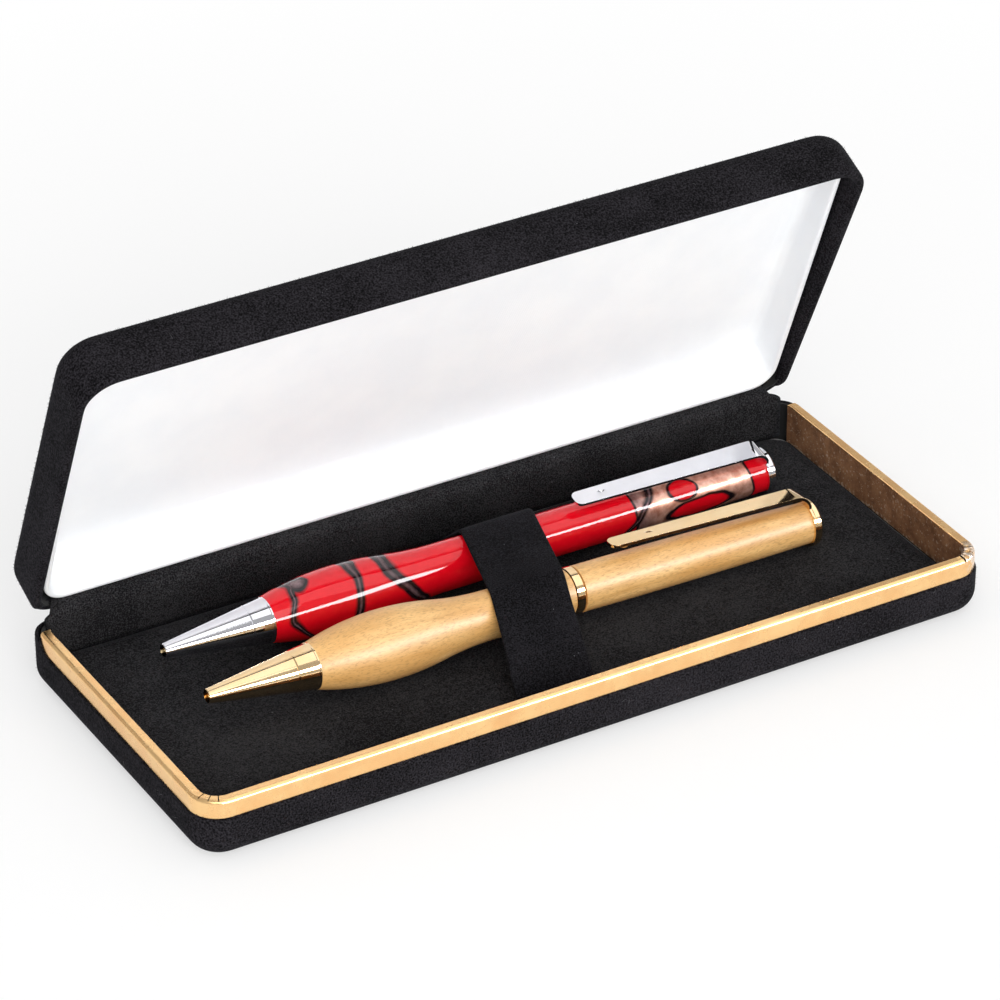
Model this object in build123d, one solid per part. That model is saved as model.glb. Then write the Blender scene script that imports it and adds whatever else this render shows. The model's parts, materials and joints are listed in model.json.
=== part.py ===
from build123d import *
import os
from collections import namedtuple
from math import asin, cos, degrees, radians, sin

# A hinged presentation box covered in velvet, with a metal rim, holding two twist pens under a
# cloth strap. Millimetres, +Z up, origin at the centre of the underside, hinge along X at +Y.
# Everything is placed as it lies with the lid open.

# Box, measured over its cloth
box_length = 172.4
box_depth = 73.4
base_height = 13.0
lid_height = 12.5
lid_side_step = 0.75
lid_front_step = 0.8
rim_gap = 0.4
base_corner = 6.5
lid_corner = 8.0
base_edge = 4.5
lid_edge = 4.5
open_angle = 66.0

# Thicknesses of the shells and their cloth
velvet = 0.7
shell_wall = 0.5
turn_in_front = 5.0
turn_in_back = 1.4
turn_in_hidden = 2.0

# Metal rim, a folded strip that grips the base's wall on three sides
rim_sheet = 0.25
rim_face = 3.7
rim_flange = 2.2
rim_round = 0.8
rim_inner_round = 0.3
rim_leg_cover = 1.6
rim_end_gap = 5.2
rim_end_slant = 20.0
slit_width = 0.22
slit_reach = 1.9
slit_angles = (25.0, 45.0, 65.0)

# Insert that the pens lie on
insert_top = 5.9
insert_cloth = 0.7
insert_board = 1.0
insert_crown = 1.2
under_space = 1.3
fit_gap = 0.1

# Hinge, two rolled leaves on one wire pin, and the flat spring that makes it snap
hinge_length = 150.0
knuckle_count = 7
knuckle_gap = 0.3
leaf_sheet = 0.45
leaf_drop = 5.0
pin_radius = 0.45
pin_play = 0.04
hinge_clear = 0.3
spring_width = 14.0
spring_sheet = 0.3
spring_length = 7.2

# Velvet flap that hides the hinge inside the box
flap_gap = 0.12
flap_show = 1.6
flap_tuck = 2.6
flap_lid_margin = 2.2
flap_base_margin = 1.0

# Lid lining, a card tray covered in satin
lining_card = 0.5
lining_satin = 0.6
lining_cove = 3.0
lining_gap = 0.05

# Strap over the pens
strap_width = 17.0
strap_cloth = 0.8
strap_skew = 16.0
strap_middle_x = 1.45
strap_middle_y = -0.1
strap_gap = 0.45
slot_gap = 0.15
strap_front_margin = 2.95
strap_back_margin = 2.4
strap_tab = 5.0

# The two pens, each placed by its tip
red_length = 136.0
red_bulge_radius = 6.55
red_waist_radius = 4.95
red_tip_left_of_middle = 68.55
red_from_middle = 13.5
red_yaw = 0.75
red_clip_turn = 14.0
wood_length = 133.7
wood_bulge_radius = 6.95
wood_waist_radius = 4.85
wood_tip_left_of_middle = 68.95
wood_from_middle = -5.2
wood_yaw = -0.3
wood_clip_turn = -4.0

# Twist pens, sizes shared by both
tube_radius = 3.5
tube_bore = 3.1
nib_length = 22.0
nib_tip_radius = 1.43
nib_hole_radius = 1.25
nib_step_at = 17.5
nib_step_radius = 3.95
nib_base_radius = 4.5
nib_lip = 0.1
nib_spigot = 6.0
nose_radius = 4.6
bulge_at = 38.0
waist_at = 60.0
band_at = 77.4
band_length = 2.2
band_radius = 4.75
turn_gap = 0.15
upper_middle_radius = 4.6
upper_end_radius = 4.15
washer_sheet = 0.55
cap_length = 1.35
cap_radius = 4.8
cap_stem = 7.0
sleeve_front = 16.0
spindle_radius = 2.5
spindle_length = 15.0
spindle_play = 0.06
driver_length = 32.0
twist_travel = 4.2
carrier_bore = 2.1
refill_radius = 1.5
refill_tip_radius = 1.15
refill_ball_radius = 0.35
refill_tip_length = 9.0
refill_cone = 2.6
refill_plug_radius = 1.95
refill_plug_length = 6.0
refill_tip_inset = 0.5
refill_end_at = 88.0
clip_width = 4.6
clip_tip_width = 3.6
clip_sheet = 0.6
clip_length = 45.0
clip_root_height = 6.7
clip_tip_height = 7.4
clip_slope = 3.4
clip_bump = 1.15
clip_bump_from_tip = 3.2
pen_rest_gap = 0.2

Pen = namedtuple("Pen", "name tip_x tip_y yaw length bulge waist clip_turn")
red = Pen(
    "red",
    -red_tip_left_of_middle,
    red_from_middle,
    red_yaw,
    red_length,
    red_bulge_radius,
    red_waist_radius,
    red_clip_turn,
)
wood = Pen(
    "wood",
    -wood_tip_left_of_middle,
    wood_from_middle,
    wood_yaw,
    wood_length,
    wood_bulge_radius,
    wood_waist_radius,
    wood_clip_turn,
)
pens = [red, wood]

# Values worked out from the sizes above
rim_inset = velvet - rim_sheet
shell_inset = velvet
inside_inset = velvet + shell_wall
rim_bottom = base_height - rim_face
rim_leg_inset = rim_inset + rim_flange
leaf_inner_y = box_depth / 2 - inside_inset - leaf_sheet
knuckle_radius = pin_radius + leaf_sheet
hinge_y = leaf_inner_y + knuckle_radius
hinge_z = base_height + rim_gap / 2
wall_top = hinge_z - knuckle_radius - hinge_clear
lid_low = base_height + rim_gap
lid_top = lid_low + lid_height
lid_length = box_length - 2 * lid_side_step
lid_depth = box_depth - lid_front_step
lid_middle_y = lid_front_step / 2
lid_wall_low = hinge_z + knuckle_radius + hinge_clear
floor_top = velvet + shell_wall
board_low = floor_top + under_space
flap_radius = knuckle_radius + spring_sheet + flap_gap
insert_back = hinge_y - flap_radius - velvet - fit_gap
insert_front = -box_depth / 2 + rim_leg_inset + fit_gap
insert_half = box_length / 2 - rim_leg_inset - fit_gap
strap_front_y = insert_front + strap_front_margin
strap_back_y = insert_back - strap_back_margin
rim_end_y = box_depth / 2 - rim_end_gap


def to_open(shape):
    """Turns a piece drawn on the closed lid to where it is with the lid open."""
    hinge = Axis((0, hinge_y, hinge_z), (-1, 0, 0))
    return shape.rotate(hinge, open_angle)


def base_prism(inset, low, high):
    """Upright block with the base's outline drawn in by inset."""
    outline = RectangleRounded(box_length - 2 * inset, box_depth - 2 * inset, base_corner - inset)
    return extrude(Plane.XY.offset(low) * outline, high - low)


def lid_prism(inset, low, high):
    """Upright block with the closed lid's outline drawn in by inset, level with the base at the back."""
    outline = RectangleRounded(lid_length - 2 * inset, lid_depth - 2 * inset, lid_corner - inset)
    return Pos(0, lid_middle_y, low) * extrude(outline, high - low)


def base_block(inset, high, rounding_inset):
    """The base's outer form drawn in by inset, with its lower edges rounded."""
    block = base_prism(inset, rounding_inset, high)
    bottom = block.faces().sort_by(Axis.Z)[0]
    return fillet(bottom.edges(), base_edge - rounding_inset)


def lid_block(inset, low, high):
    """The closed lid's outer form drawn in by inset, with its upper edges rounded."""
    block = lid_prism(inset, low, high)
    top = block.faces().sort_by(Axis.Z)[-1]
    return fillet(top.edges(), lid_edge - (lid_top - high))


def slab(low_x, high_x, low_y, high_y, low_z, high_z):
    """Plain block between two corners."""
    size = (high_x - low_x, high_y - low_y, high_z - low_z)
    middle = Pos((low_x + high_x) / 2, (low_y + high_y) / 2, (low_z + high_z) / 2)
    return middle * Box(*size)


def make_base_shell():
    """Pressed tray of thin sheet that stiffens the base."""
    outer = base_block(shell_inset, wall_top, velvet)
    return outer - base_block(inside_inset, wall_top, floor_top)


def make_base_cover():
    """Velvet over the outside of the base, ending under the metal rim on three sides."""
    skin = base_block(0, wall_top, 0) - base_block(shell_inset, wall_top, velvet)
    under_rim = slab(-box_length, box_length, -box_depth, rim_end_y, rim_bottom, base_height)
    return skin - under_rim


def rim_end_cuts():
    """What ends the strip before the hinge: square across its leg, slanted on its face."""
    square = slab(-box_length, box_length, rim_end_y, box_depth, 0, lid_top)
    wide = rim_inset + rim_round
    slanted = slab(-box_length, box_length, 0, box_depth, -box_depth, box_depth)
    slanted = Pos(0, rim_end_y, base_height) * Rot(-rim_end_slant, 0, 0) * slanted
    middle = slab(wide - box_length / 2, box_length / 2 - wide, -box_depth, box_depth, -box_depth, box_depth)
    return [square, slanted - middle]


def rim_slits():
    """Thin cuts in the flange and inner leg where the strip turns the two front corners."""
    arc_radius = base_corner - rim_leg_inset
    cuts = []
    for side in (-1, 1):
        centre = Pos(side * (box_length / 2 - base_corner), -box_depth / 2 + base_corner, 0)
        for angle in slit_angles:
            inner = arc_radius - rim_sheet
            cut = slab(inner, arc_radius + slit_reach, -slit_width / 2, slit_width / 2, 0, lid_top)
            heading = -angle if side > 0 else angle - 180
            cuts.append(centre * Rot(0, 0, heading) * cut)
    return cuts


def make_rim():
    """Strip folded to an upside-down U: face, rounded edge, flange and inner leg."""
    leg_bottom = insert_top - rim_leg_cover
    ring = base_prism(rim_inset, leg_bottom, base_height)
    ring -= base_prism(rim_leg_inset, leg_bottom, base_height)
    top = ring.faces().sort_by(Axis.Z)[-1]
    ring = fillet(top.outer_wire().edges(), rim_round)
    top = ring.faces().sort_by(Axis.Z)[-1]
    ring = fillet(top.inner_wires()[0].edges(), rim_inner_round)
    under_flange = base_height - rim_sheet
    hollow = base_prism(rim_inset + rim_sheet, leg_bottom, under_flange)
    hollow -= base_prism(rim_leg_inset - rim_sheet, leg_bottom, under_flange)
    hollow_top = hollow.faces().sort_by(Axis.Z)[-1]
    hollow = fillet(hollow_top.outer_wire().edges(), rim_round - rim_sheet)
    face_foot = base_prism(rim_inset, leg_bottom, rim_bottom)
    face_foot -= base_prism(rim_leg_inset - rim_sheet, leg_bottom, rim_bottom)
    return ring - hollow - face_foot - rim_end_cuts() - rim_slits()


def insert_outline(inset=0.0):
    """Outline of the insert, between the rim's inner legs and the hinge flap."""
    depth = insert_back - insert_front - 2 * inset
    corner = base_corner - rim_leg_inset - fit_gap - inset
    outline = RectangleRounded(2 * (insert_half - inset), depth, corner)
    return Pos(0, (insert_front + insert_back) / 2) * outline


def strap_band():
    """The skewed band of space, as wide as the strap, that its edges lie in."""
    middle = Pos(strap_middle_x, strap_middle_y, 0) * Rot(0, 0, -strap_skew)
    return middle * slab(-strap_width / 2, strap_width / 2, -box_depth, box_depth, 0, lid_top)


def strap_slots():
    """Openings in the insert through which the strap's ends go down."""
    half = strap_cloth / 2 + slot_gap
    slots = []
    for at in (strap_front_y, strap_back_y):
        slots.append(slab(-box_length, box_length, at - half, at + half, 0, lid_top) & strap_band())
    return slots


def make_insert_board():
    """Card under the insert."""
    board = extrude(Plane.XY.offset(board_low) * insert_outline(insert_cloth), insert_board)
    return board - strap_slots()


def make_insert_foam():
    """Foam between the card and its velvet."""
    low = board_low + insert_board
    high = insert_top - insert_cloth
    foam = extrude(Plane.XY.offset(low) * insert_outline(insert_cloth), high - low)
    top = foam.faces().sort_by(Axis.Z)[-1]
    return fillet(top.edges(), insert_crown - insert_cloth) - strap_slots()


def make_insert_cover():
    """Velvet over the insert's top and down its sides."""
    cover = extrude(Plane.XY.offset(board_low) * insert_outline(), insert_top - board_low)
    top = cover.faces().sort_by(Axis.Z)[-1]
    cover = fillet(top.edges(), insert_crown)
    depth = insert_top - insert_cloth - board_low
    inner = extrude(Plane.XY.offset(board_low) * insert_outline(insert_cloth), depth)
    inner_top = inner.faces().sort_by(Axis.Z)[-1]
    inner = fillet(inner_top.edges(), insert_crown - insert_cloth)
    return cover - inner - strap_slots()


def leaf(first):
    """Leaf on the base's back wall; its knuckles are every second one from first."""
    pitch = hinge_length / knuckle_count
    low = hinge_z - knuckle_radius - leaf_drop
    plate = slab(-hinge_length / 2, hinge_length / 2, leaf_inner_y, leaf_inner_y + leaf_sheet, low, hinge_z)
    for index in range(knuckle_count):
        left = -hinge_length / 2 + index * pitch
        if index % 2 == first:
            plate += knuckle(left + knuckle_gap / 2, pitch - knuckle_gap, knuckle_radius)
            continue
        window_low = left - knuckle_gap / 2
        window_high = left + pitch + knuckle_gap / 2
        plate -= slab(window_low, window_high, 0, box_depth, wall_top - hinge_clear, lid_top)
    return plate


def knuckle(left, length, radius):
    """Solid roll of a knuckle along X."""
    return Pos(left + length / 2, hinge_y, hinge_z) * Rot(0, 90, 0) * Cylinder(radius, length)


def pin_rod(radius):
    """Round bar on the hinge axis."""
    return Pos(0, hinge_y, hinge_z) * Rot(0, 90, 0) * Cylinder(radius, hinge_length)


def make_base_leaf():
    """Fixed leaf, tight on the pin."""
    return leaf(0) - pin_rod(pin_radius)


def cam_nose():
    """Corner on the middle knuckle of the lid, between the flats it rests on closed and open."""
    width = spring_width - 2 * knuckle_gap
    half = open_angle / 2
    reach = knuckle_radius / cos(radians(half))
    flat_closed = (-knuckle_radius, 0)
    corner = (-reach * cos(radians(half)), -reach * sin(radians(half)))
    flat_open = (-knuckle_radius * cos(radians(open_angle)), -knuckle_radius * sin(radians(open_angle)))
    outline = make_face(Polyline(flat_closed, corner, flat_open, (0, 0), close=True))
    side = Plane(origin=(0, hinge_y, hinge_z), x_dir=(0, 1, 0), z_dir=(1, 0, 0))
    return extrude(side * outline, width / 2, both=True)


def make_lid_leaf():
    """Moving leaf, drawn closed as the fixed one turned over, with a running fit on the pin."""
    upper = mirror(leaf(1), Plane.XY.offset(hinge_z)) + cam_nose()
    return to_open(upper - pin_rod(pin_radius + pin_play))


def make_snap_spring():
    """Flat spring on the fixed leaf whose free end bears on the cam knuckle."""
    high = hinge_z + knuckle_radius * sin(radians(open_angle / 2))
    low = high - spring_length
    back = leaf_inner_y
    plate = slab(-spring_width / 2, spring_width / 2, back - spring_sheet, back, low, high)
    return fillet(plate.edges().filter_by(Axis.Y), spring_sheet * 4)


def make_flap():
    """Velvet strip from behind the insert over the hinge and under the lining's edge."""
    side = Plane(origin=(0, hinge_y, hinge_z), x_dir=(0, 1, 0), z_dir=(1, 0, 0))
    inner = flap_radius
    outer = flap_radius + velvet
    foot = floor_top + base_edge - inside_inset + fit_gap - hinge_z
    base_run = Pos(-(inner + outer) / 2, foot / 2) * Rectangle(velvet, -foot)
    turned = Circle(outer) - Circle(inner)
    wedge = make_face(Polyline((0, 0), (-lid_top, 0), (-lid_top, lid_top), (0, lid_top), close=True))
    beyond = Rot(0, 0, -open_angle) * wedge
    arc = (turned & wedge) - beyond
    tail = flap_show + flap_tuck
    lid_run = Pos(-(inner + outer) / 2, tail / 2) * Rectangle(velvet, tail)
    flap = extrude(side * (base_run + arc), insert_half - flap_base_margin, both=True)
    lid_half = lid_length / 2 - lid_corner + flap_lid_margin
    return flap + extrude(side * Rot(0, 0, -open_angle) * lid_run, lid_half, both=True)


def lid_hinge_cut():
    """Space at the closed lid's back edge that the hinge and flap need."""
    low_y = hinge_y - flap_radius - velvet - fit_gap
    return slab(-box_length, box_length, low_y, box_depth, 0, lid_wall_low)


def make_lid_shell():
    """Pressed shell of thin sheet that stiffens the lid."""
    low = lid_low + velvet
    outer = lid_block(shell_inset, low, lid_top - velvet)
    shell = outer - lid_block(inside_inset, low, lid_top - inside_inset)
    return to_open(shell - lid_hinge_cut())


def make_lid_cover():
    """Velvet over the lid, round its rim and a few millimetres up the inside."""
    turned_in = inside_inset + velvet
    skin = lid_block(0, lid_low, lid_top)
    skin -= lid_block(shell_inset, lid_low + velvet, lid_top - velvet)
    skin -= lid_prism(turned_in, lid_low, lid_low + velvet)
    rise = (turn_in_front - turn_in_back) / (lid_depth - 2 * turned_in)
    hem = lid_prism(inside_inset, lid_low + velvet, lid_top - inside_inset)
    hem -= lid_prism(turned_in, lid_low, lid_top)
    above = Rot(-degrees(rise), 0, 0) * slab(-box_length, box_length, -box_depth, box_depth, 0, lid_height)
    hem_middle = lid_low + turn_in_hidden + (turn_in_front + turn_in_back) / 2
    hem -= Pos(0, lid_middle_y, hem_middle) * above
    flap_front = hinge_y - flap_radius - velvet - fit_gap
    behind_flap = slab(-box_length, box_length, flap_front, box_depth, 0, lid_top)
    return to_open(skin - lid_hinge_cut() + (hem - behind_flap))


def lining_block(inset, thickness):
    """The space inside the lid's lining, with a rounded cove round its panel."""
    block = lid_prism(inset, lid_low, lid_top - inside_inset - thickness)
    top = block.faces().sort_by(Axis.Z)[-1]
    return fillet(top.edges(), lining_cove)


def lining_mouth():
    """What is cut away below the lining's edge, which stands further in at the front."""
    rise = (turn_in_front - turn_in_back) / lid_depth
    below = slab(-box_length, box_length, -box_depth, box_depth, -lid_height, 0)
    middle = lid_low + (turn_in_front + turn_in_back) / 2
    return Pos(0, lid_middle_y, middle) * Rot(-degrees(rise), 0, 0) * below


def lining_layer(outer_inset, outer_thickness, layer):
    """One layer of the lining, its outside at outer_inset from the lid's own outside."""
    outer = lining_block(outer_inset, outer_thickness)
    inner = lining_block(outer_inset + layer, outer_thickness + layer)
    return to_open(outer - inner - lining_mouth())


def lining_inset():
    """How far in the lining's card starts, in front of the flap."""
    return box_depth / 2 - (hinge_y - flap_radius - velvet) + lining_gap


def make_lining_card():
    """Card tray pressed into the lid."""
    return lining_layer(lining_inset(), 0, lining_card)


def make_lining():
    """Satin over the card."""
    return lining_layer(lining_inset() + lining_card, lining_card, lining_satin)


def pen_tilt(pen):
    """Angle by which a pen lies nose up, resting on its bulge and its cap."""
    cap_at = pen.length - cap_length / 2
    return degrees(asin((pen.bulge - cap_radius) / (cap_at - bulge_at)))


def pen_place(pen):
    """Where a pen drawn along X from its tip lies on the insert."""
    tilt = pen_tilt(pen)
    axis_z = insert_top + pen_rest_gap + pen.bulge / cos(radians(tilt))
    tip_z = axis_z + bulge_at * sin(radians(tilt))
    return Pos(pen.tip_x, pen.tip_y, tip_z) * Rot(0, 0, pen.yaw) * Rot(0, tilt, 0) * Rot(pen.clip_turn, 0, 0)


def axis_height(pen, at):
    """Height of the pen's axis at a distance from its tip."""
    tilt = radians(pen_tilt(pen))
    return insert_top + pen_rest_gap + pen.bulge / cos(tilt) + (bulge_at - at) * sin(tilt)


def turned(profile):
    """Solid turned about the pen's axis from a closed outline of lines."""
    return revolve(make_face(profile), Axis.X)


def tube(low, high, outer, inner):
    """Plain tube on the pen's axis."""
    return turned(Polyline((low, inner), (low, outer), (high, outer), (high, inner), close=True))


def make_nib(pen):
    """Cone with a hole for the refill, a shallow step, a lip and a spigot that presses in the tube."""
    shoulder = refill_tip_inset + refill_tip_length - twist_travel - refill_cone / 2
    outline = Polyline(
        (0, nib_hole_radius),
        (0, nib_tip_radius - nib_lip),
        (nib_lip, nib_tip_radius),
        (nib_step_at, nib_step_radius),
        (nib_step_at + nib_lip, nib_step_radius - nib_lip),
        (nib_step_at + 3 * nib_lip, nib_step_radius + nib_lip / 2),
        (nib_length - 4 * nib_lip, nib_base_radius),
        (nib_length - 3 * nib_lip, nib_base_radius + nib_lip),
        (nib_length, nib_base_radius + nib_lip),
        (nib_length, tube_bore),
        (nib_length + nib_spigot, tube_bore),
        (nib_length + nib_spigot, carrier_bore),
        (shoulder, refill_radius + nib_lip),
        (shoulder - nib_lip, nib_hole_radius),
        close=True,
    )
    return turned(outline)


def make_lower_barrel(pen):
    """Turned barrel with its swelling near the nib and a waist towards the band."""
    turn = ((bulge_at + waist_at) / 2, (pen.bulge + pen.waist) / 2)
    curve = TangentArc((bulge_at, pen.bulge), (nib_length, nose_radius), tangent=(-1, 0))
    curve += TangentArc((bulge_at, pen.bulge), turn, tangent=(1, 0))
    curve += TangentArc((waist_at, pen.waist), turn, tangent=(-1, 0))
    curve += TangentArc((waist_at, pen.waist), (band_at, band_radius - nib_lip), tangent=(1, 0))
    line = Polyline(
        (band_at, band_radius - nib_lip),
        (band_at, tube_radius),
        (nib_length, tube_radius),
        (nib_length, nose_radius),
    )
    return turned(curve + line)


def make_upper_barrel(pen):
    """Straighter upper barrel that thins towards the clip."""
    low = band_at + band_length + turn_gap
    high = pen.length - cap_length - washer_sheet
    middle = ((low + high) / 2, upper_middle_radius)
    curve = ThreePointArc((low, band_radius - nib_lip), middle, (high, upper_end_radius))
    line = Polyline(
        (high, upper_end_radius),
        (high, tube_radius),
        (low, tube_radius),
        (low, band_radius - nib_lip),
    )
    return turned(curve + line)


def make_lower_tube(pen):
    """Metal tube glued in the lower barrel."""
    return tube(nib_length, band_at, tube_radius, tube_bore)


def make_upper_tube(pen):
    """Metal tube glued in the upper barrel."""
    low = band_at + band_length + turn_gap
    return tube(low, pen.length - cap_length - washer_sheet, tube_radius, tube_bore)


def make_band(pen):
    """Ring between the two barrels, turned with a bead."""
    high = band_at + band_length
    edge = nib_lip * 3
    outline = Polyline(
        (band_at, tube_bore),
        (band_at, band_radius - edge),
        (band_at + edge, band_radius),
        (high - edge, band_radius),
        (high, band_radius - edge),
        (high, tube_bore),
        close=True,
    )
    return turned(outline)


def make_sleeve(pen):
    """Fixed half of the twist mechanism, pressed in the lower tube, with its spindle."""
    low = band_at - sleeve_front
    high = band_at + band_length
    outline = Polyline(
        (low, carrier_bore),
        (low, tube_bore),
        (high, tube_bore),
        (high, spindle_radius),
        (high + spindle_length, spindle_radius),
        (high + spindle_length, carrier_bore),
        close=True,
    )
    return turned(outline)


def make_driver(pen):
    """Turning half of the twist mechanism, gripped by the upper tube."""
    low = band_at + band_length + turn_gap
    bore = spindle_radius + spindle_play
    bore_end = band_at + band_length + spindle_length + turn_gap
    outline = Polyline(
        (low, bore),
        (low, tube_bore),
        (low + driver_length, tube_bore),
        (low + driver_length, 0),
        (bore_end, 0),
        (bore_end, bore),
        close=True,
    )
    return turned(outline)


def make_refill(pen):
    """Ball-point refill with its thinner front, and the plug that the mechanism pushes."""
    tip = refill_tip_inset
    front = tip + refill_tip_length
    plug = refill_end_at - refill_plug_length
    outline = Polyline(
        (tip, 0),
        (tip, refill_ball_radius),
        (tip + refill_cone, refill_tip_radius),
        (front, refill_tip_radius),
        (front + refill_cone / 4, refill_radius),
        (plug, refill_radius),
        (plug, refill_plug_radius),
        (refill_end_at, refill_plug_radius),
        (refill_end_at, 0),
        close=True,
    )
    return turned(outline)


def make_cap(pen):
    """Finial disc with a rounded edge on a stem that presses in the upper tube."""
    low = pen.length - cap_length
    edge = cap_length / 3
    outline = Polyline(
        (low - washer_sheet - cap_stem, 0),
        (low - washer_sheet - cap_stem, tube_bore),
        (low, tube_bore),
        (low, cap_radius),
        (pen.length - edge, cap_radius),
        (pen.length, cap_radius - edge),
        (pen.length, 0),
        close=True,
    )
    return turned(outline)


def clip_side(foot):
    """Side view of the clip: a thin strip that runs out flat and bends down to the washer in one arc."""
    root = foot - clip_slope
    tip = foot - clip_length
    rise = clip_tip_height - clip_root_height
    high = clip_root_height + clip_sheet
    edge = cap_radius - nib_lip
    run = (root - tip, -rise)
    over = Line((tip, high + rise), (root, high)) + TangentArc((root, high), (foot, edge), tangent=run)
    bend_end = (foot - washer_sheet, edge)
    under = Line((tip, clip_tip_height), (root, clip_root_height))
    under += TangentArc((root, clip_root_height), bend_end, tangent=run)
    close = Polyline((foot, edge), (foot, tube_bore), (foot - washer_sheet, tube_bore), bend_end)
    return make_face(over + under + close + Line((tip, clip_tip_height), (tip, high + rise)))


def make_clip(pen):
    """Washer under the finial, and the strip bent from it along the barrel, with a bump at its end."""
    foot = pen.length - cap_length
    tip = foot - clip_length
    rise = clip_tip_height - clip_root_height
    side = clip_side(foot)
    strip = extrude(Plane.XZ * side, clip_width / 2, both=True)
    half_root = clip_width / 2
    half_tip = clip_tip_width / 2
    plan = make_face(
        Polyline((foot, -half_root), (foot, half_root), (tip, half_tip), (tip, -half_tip), close=True)
    )
    plan = fillet(plan.vertices().group_by(Axis.X)[0], half_tip * 0.8)
    strip &= extrude(Pos(0, 0, tube_bore) * plan, cap_radius * 3)
    washer = tube(foot - washer_sheet, foot, cap_radius - nib_lip, tube_bore)
    bump_x = tip + clip_bump_from_tip
    bump_z = clip_tip_height - rise * clip_bump_from_tip / clip_length
    bump = Pos(bump_x, 0, bump_z) * Sphere(clip_bump)
    bump -= slab(tip - clip_width, foot, -clip_width, clip_width, bump_z, 3 * cap_radius)
    return strip + washer + bump


def strap_circle(pen):
    """Round of the strap's inside over a pen, seen along X."""
    along_pen = (strap_middle_x - pen.tip_x) / cos(radians(pen.yaw))
    at_y = pen.tip_y + along_pen * sin(radians(pen.yaw))
    radius = max(pen.waist, band_radius) + strap_gap
    return Pos(at_y, axis_height(pen, along_pen)) * Circle(radius)


def make_strap():
    """Cloth strap, taut over both pens, its ends through the insert and turned under its card."""
    inner = strap_circle(pens[0]) + strap_circle(pens[1])
    for at in (strap_front_y + strap_cloth / 2 + slot_gap, strap_back_y - strap_cloth / 2 - slot_gap):
        inner += Pos(at, insert_top) * Circle(slot_gap)
    hull = make_hull(inner.edges())
    band = offset(hull, strap_cloth) - hull
    band -= Pos(0, insert_top - box_depth) * Rectangle(2 * box_depth, 2 * box_depth)
    low = board_low - strap_cloth
    for at, inward in ((strap_front_y, 1), (strap_back_y, -1)):
        leg = Pos(at, (insert_top + low) / 2) * Rectangle(strap_cloth, insert_top - low)
        tab_middle = at + inward * strap_tab / 2
        tab = Pos(tab_middle, low + strap_cloth / 2) * Rectangle(strap_tab, strap_cloth)
        band += leg + tab
    across = Plane(origin=(0, 0, 0), x_dir=(0, 1, 0), z_dir=(1, 0, 0))
    return extrude(across * band, box_length / 2, both=True) & strap_band()


def save(name, shape):
    """Writes one piece under its name."""
    export_step(shape, f"parts/{name}.step")


os.makedirs("parts", exist_ok=True)
save("base_shell", make_base_shell())
save("base_cover", make_base_cover())
save("rim_trim", make_rim())
save("insert_board", make_insert_board())
save("insert_foam", make_insert_foam())
save("insert_cover", make_insert_cover())
save("strap", make_strap())
save("hinge_base_leaf", make_base_leaf())
save("hinge_lid_leaf", make_lid_leaf())
save("hinge_pin", pin_rod(pin_radius))
save("snap_spring", make_snap_spring())
save("hinge_flap", make_flap())
save("lid_shell", make_lid_shell())
save("lid_cover", make_lid_cover())
save("lining_card", make_lining_card())
save("lid_lining", make_lining())

pen_pieces = {
    "nib": make_nib,
    "lower_barrel": make_lower_barrel,
    "lower_tube": make_lower_tube,
    "centre_band": make_band,
    "twist_sleeve": make_sleeve,
    "refill": make_refill,
    "twist_driver": make_driver,
    "upper_tube": make_upper_tube,
    "upper_barrel": make_upper_barrel,
    "clip": make_clip,
    "cap": make_cap,
}
for pen in pens:
    for piece, make in pen_pieces.items():
        save(f"{pen.name}_pen_{piece}", pen_place(pen) * make(pen))
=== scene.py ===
import json
from collections import namedtuple
from functools import reduce
from math import cos, pi, radians, sin, tan

import bpy
from mathutils import Matrix, Vector, noise


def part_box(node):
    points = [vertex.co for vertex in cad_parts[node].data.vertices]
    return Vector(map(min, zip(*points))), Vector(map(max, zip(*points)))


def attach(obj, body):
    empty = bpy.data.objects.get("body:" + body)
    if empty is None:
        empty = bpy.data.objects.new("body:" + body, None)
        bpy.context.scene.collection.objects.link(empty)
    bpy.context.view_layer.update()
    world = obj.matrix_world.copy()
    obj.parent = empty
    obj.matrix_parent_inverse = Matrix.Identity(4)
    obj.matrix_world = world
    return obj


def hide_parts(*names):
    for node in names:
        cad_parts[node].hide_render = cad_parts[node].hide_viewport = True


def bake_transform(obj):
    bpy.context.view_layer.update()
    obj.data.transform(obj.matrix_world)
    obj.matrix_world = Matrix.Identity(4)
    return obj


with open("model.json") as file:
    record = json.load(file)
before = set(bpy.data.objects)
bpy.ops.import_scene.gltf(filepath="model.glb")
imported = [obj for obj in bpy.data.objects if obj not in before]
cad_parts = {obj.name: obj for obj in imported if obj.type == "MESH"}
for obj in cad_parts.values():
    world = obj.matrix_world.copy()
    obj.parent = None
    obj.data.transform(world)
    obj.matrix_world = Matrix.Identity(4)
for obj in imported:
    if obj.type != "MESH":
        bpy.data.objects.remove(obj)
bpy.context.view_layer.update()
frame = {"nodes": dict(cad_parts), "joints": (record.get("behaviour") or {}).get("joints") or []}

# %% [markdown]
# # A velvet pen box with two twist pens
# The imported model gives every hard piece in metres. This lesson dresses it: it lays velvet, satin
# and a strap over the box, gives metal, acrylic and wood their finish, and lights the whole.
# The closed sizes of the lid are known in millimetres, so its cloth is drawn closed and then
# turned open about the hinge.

MM = 0.001
nodes = frame["nodes"]


def smoothstep(low, high, value):
    """0 below low, 1 above high, and a smooth step between."""
    share = min(max((value - low) / (high - low), 0.0), 1.0)
    return share * share * (3 - 2 * share)


def mix(first, second, share):
    """The value that lies that share of the way from first to second."""
    return first + (second - first) * share


def box_mm(name):
    """The low and the high corner of a node's box, in millimetres."""
    return [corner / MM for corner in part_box(name)]


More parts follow.
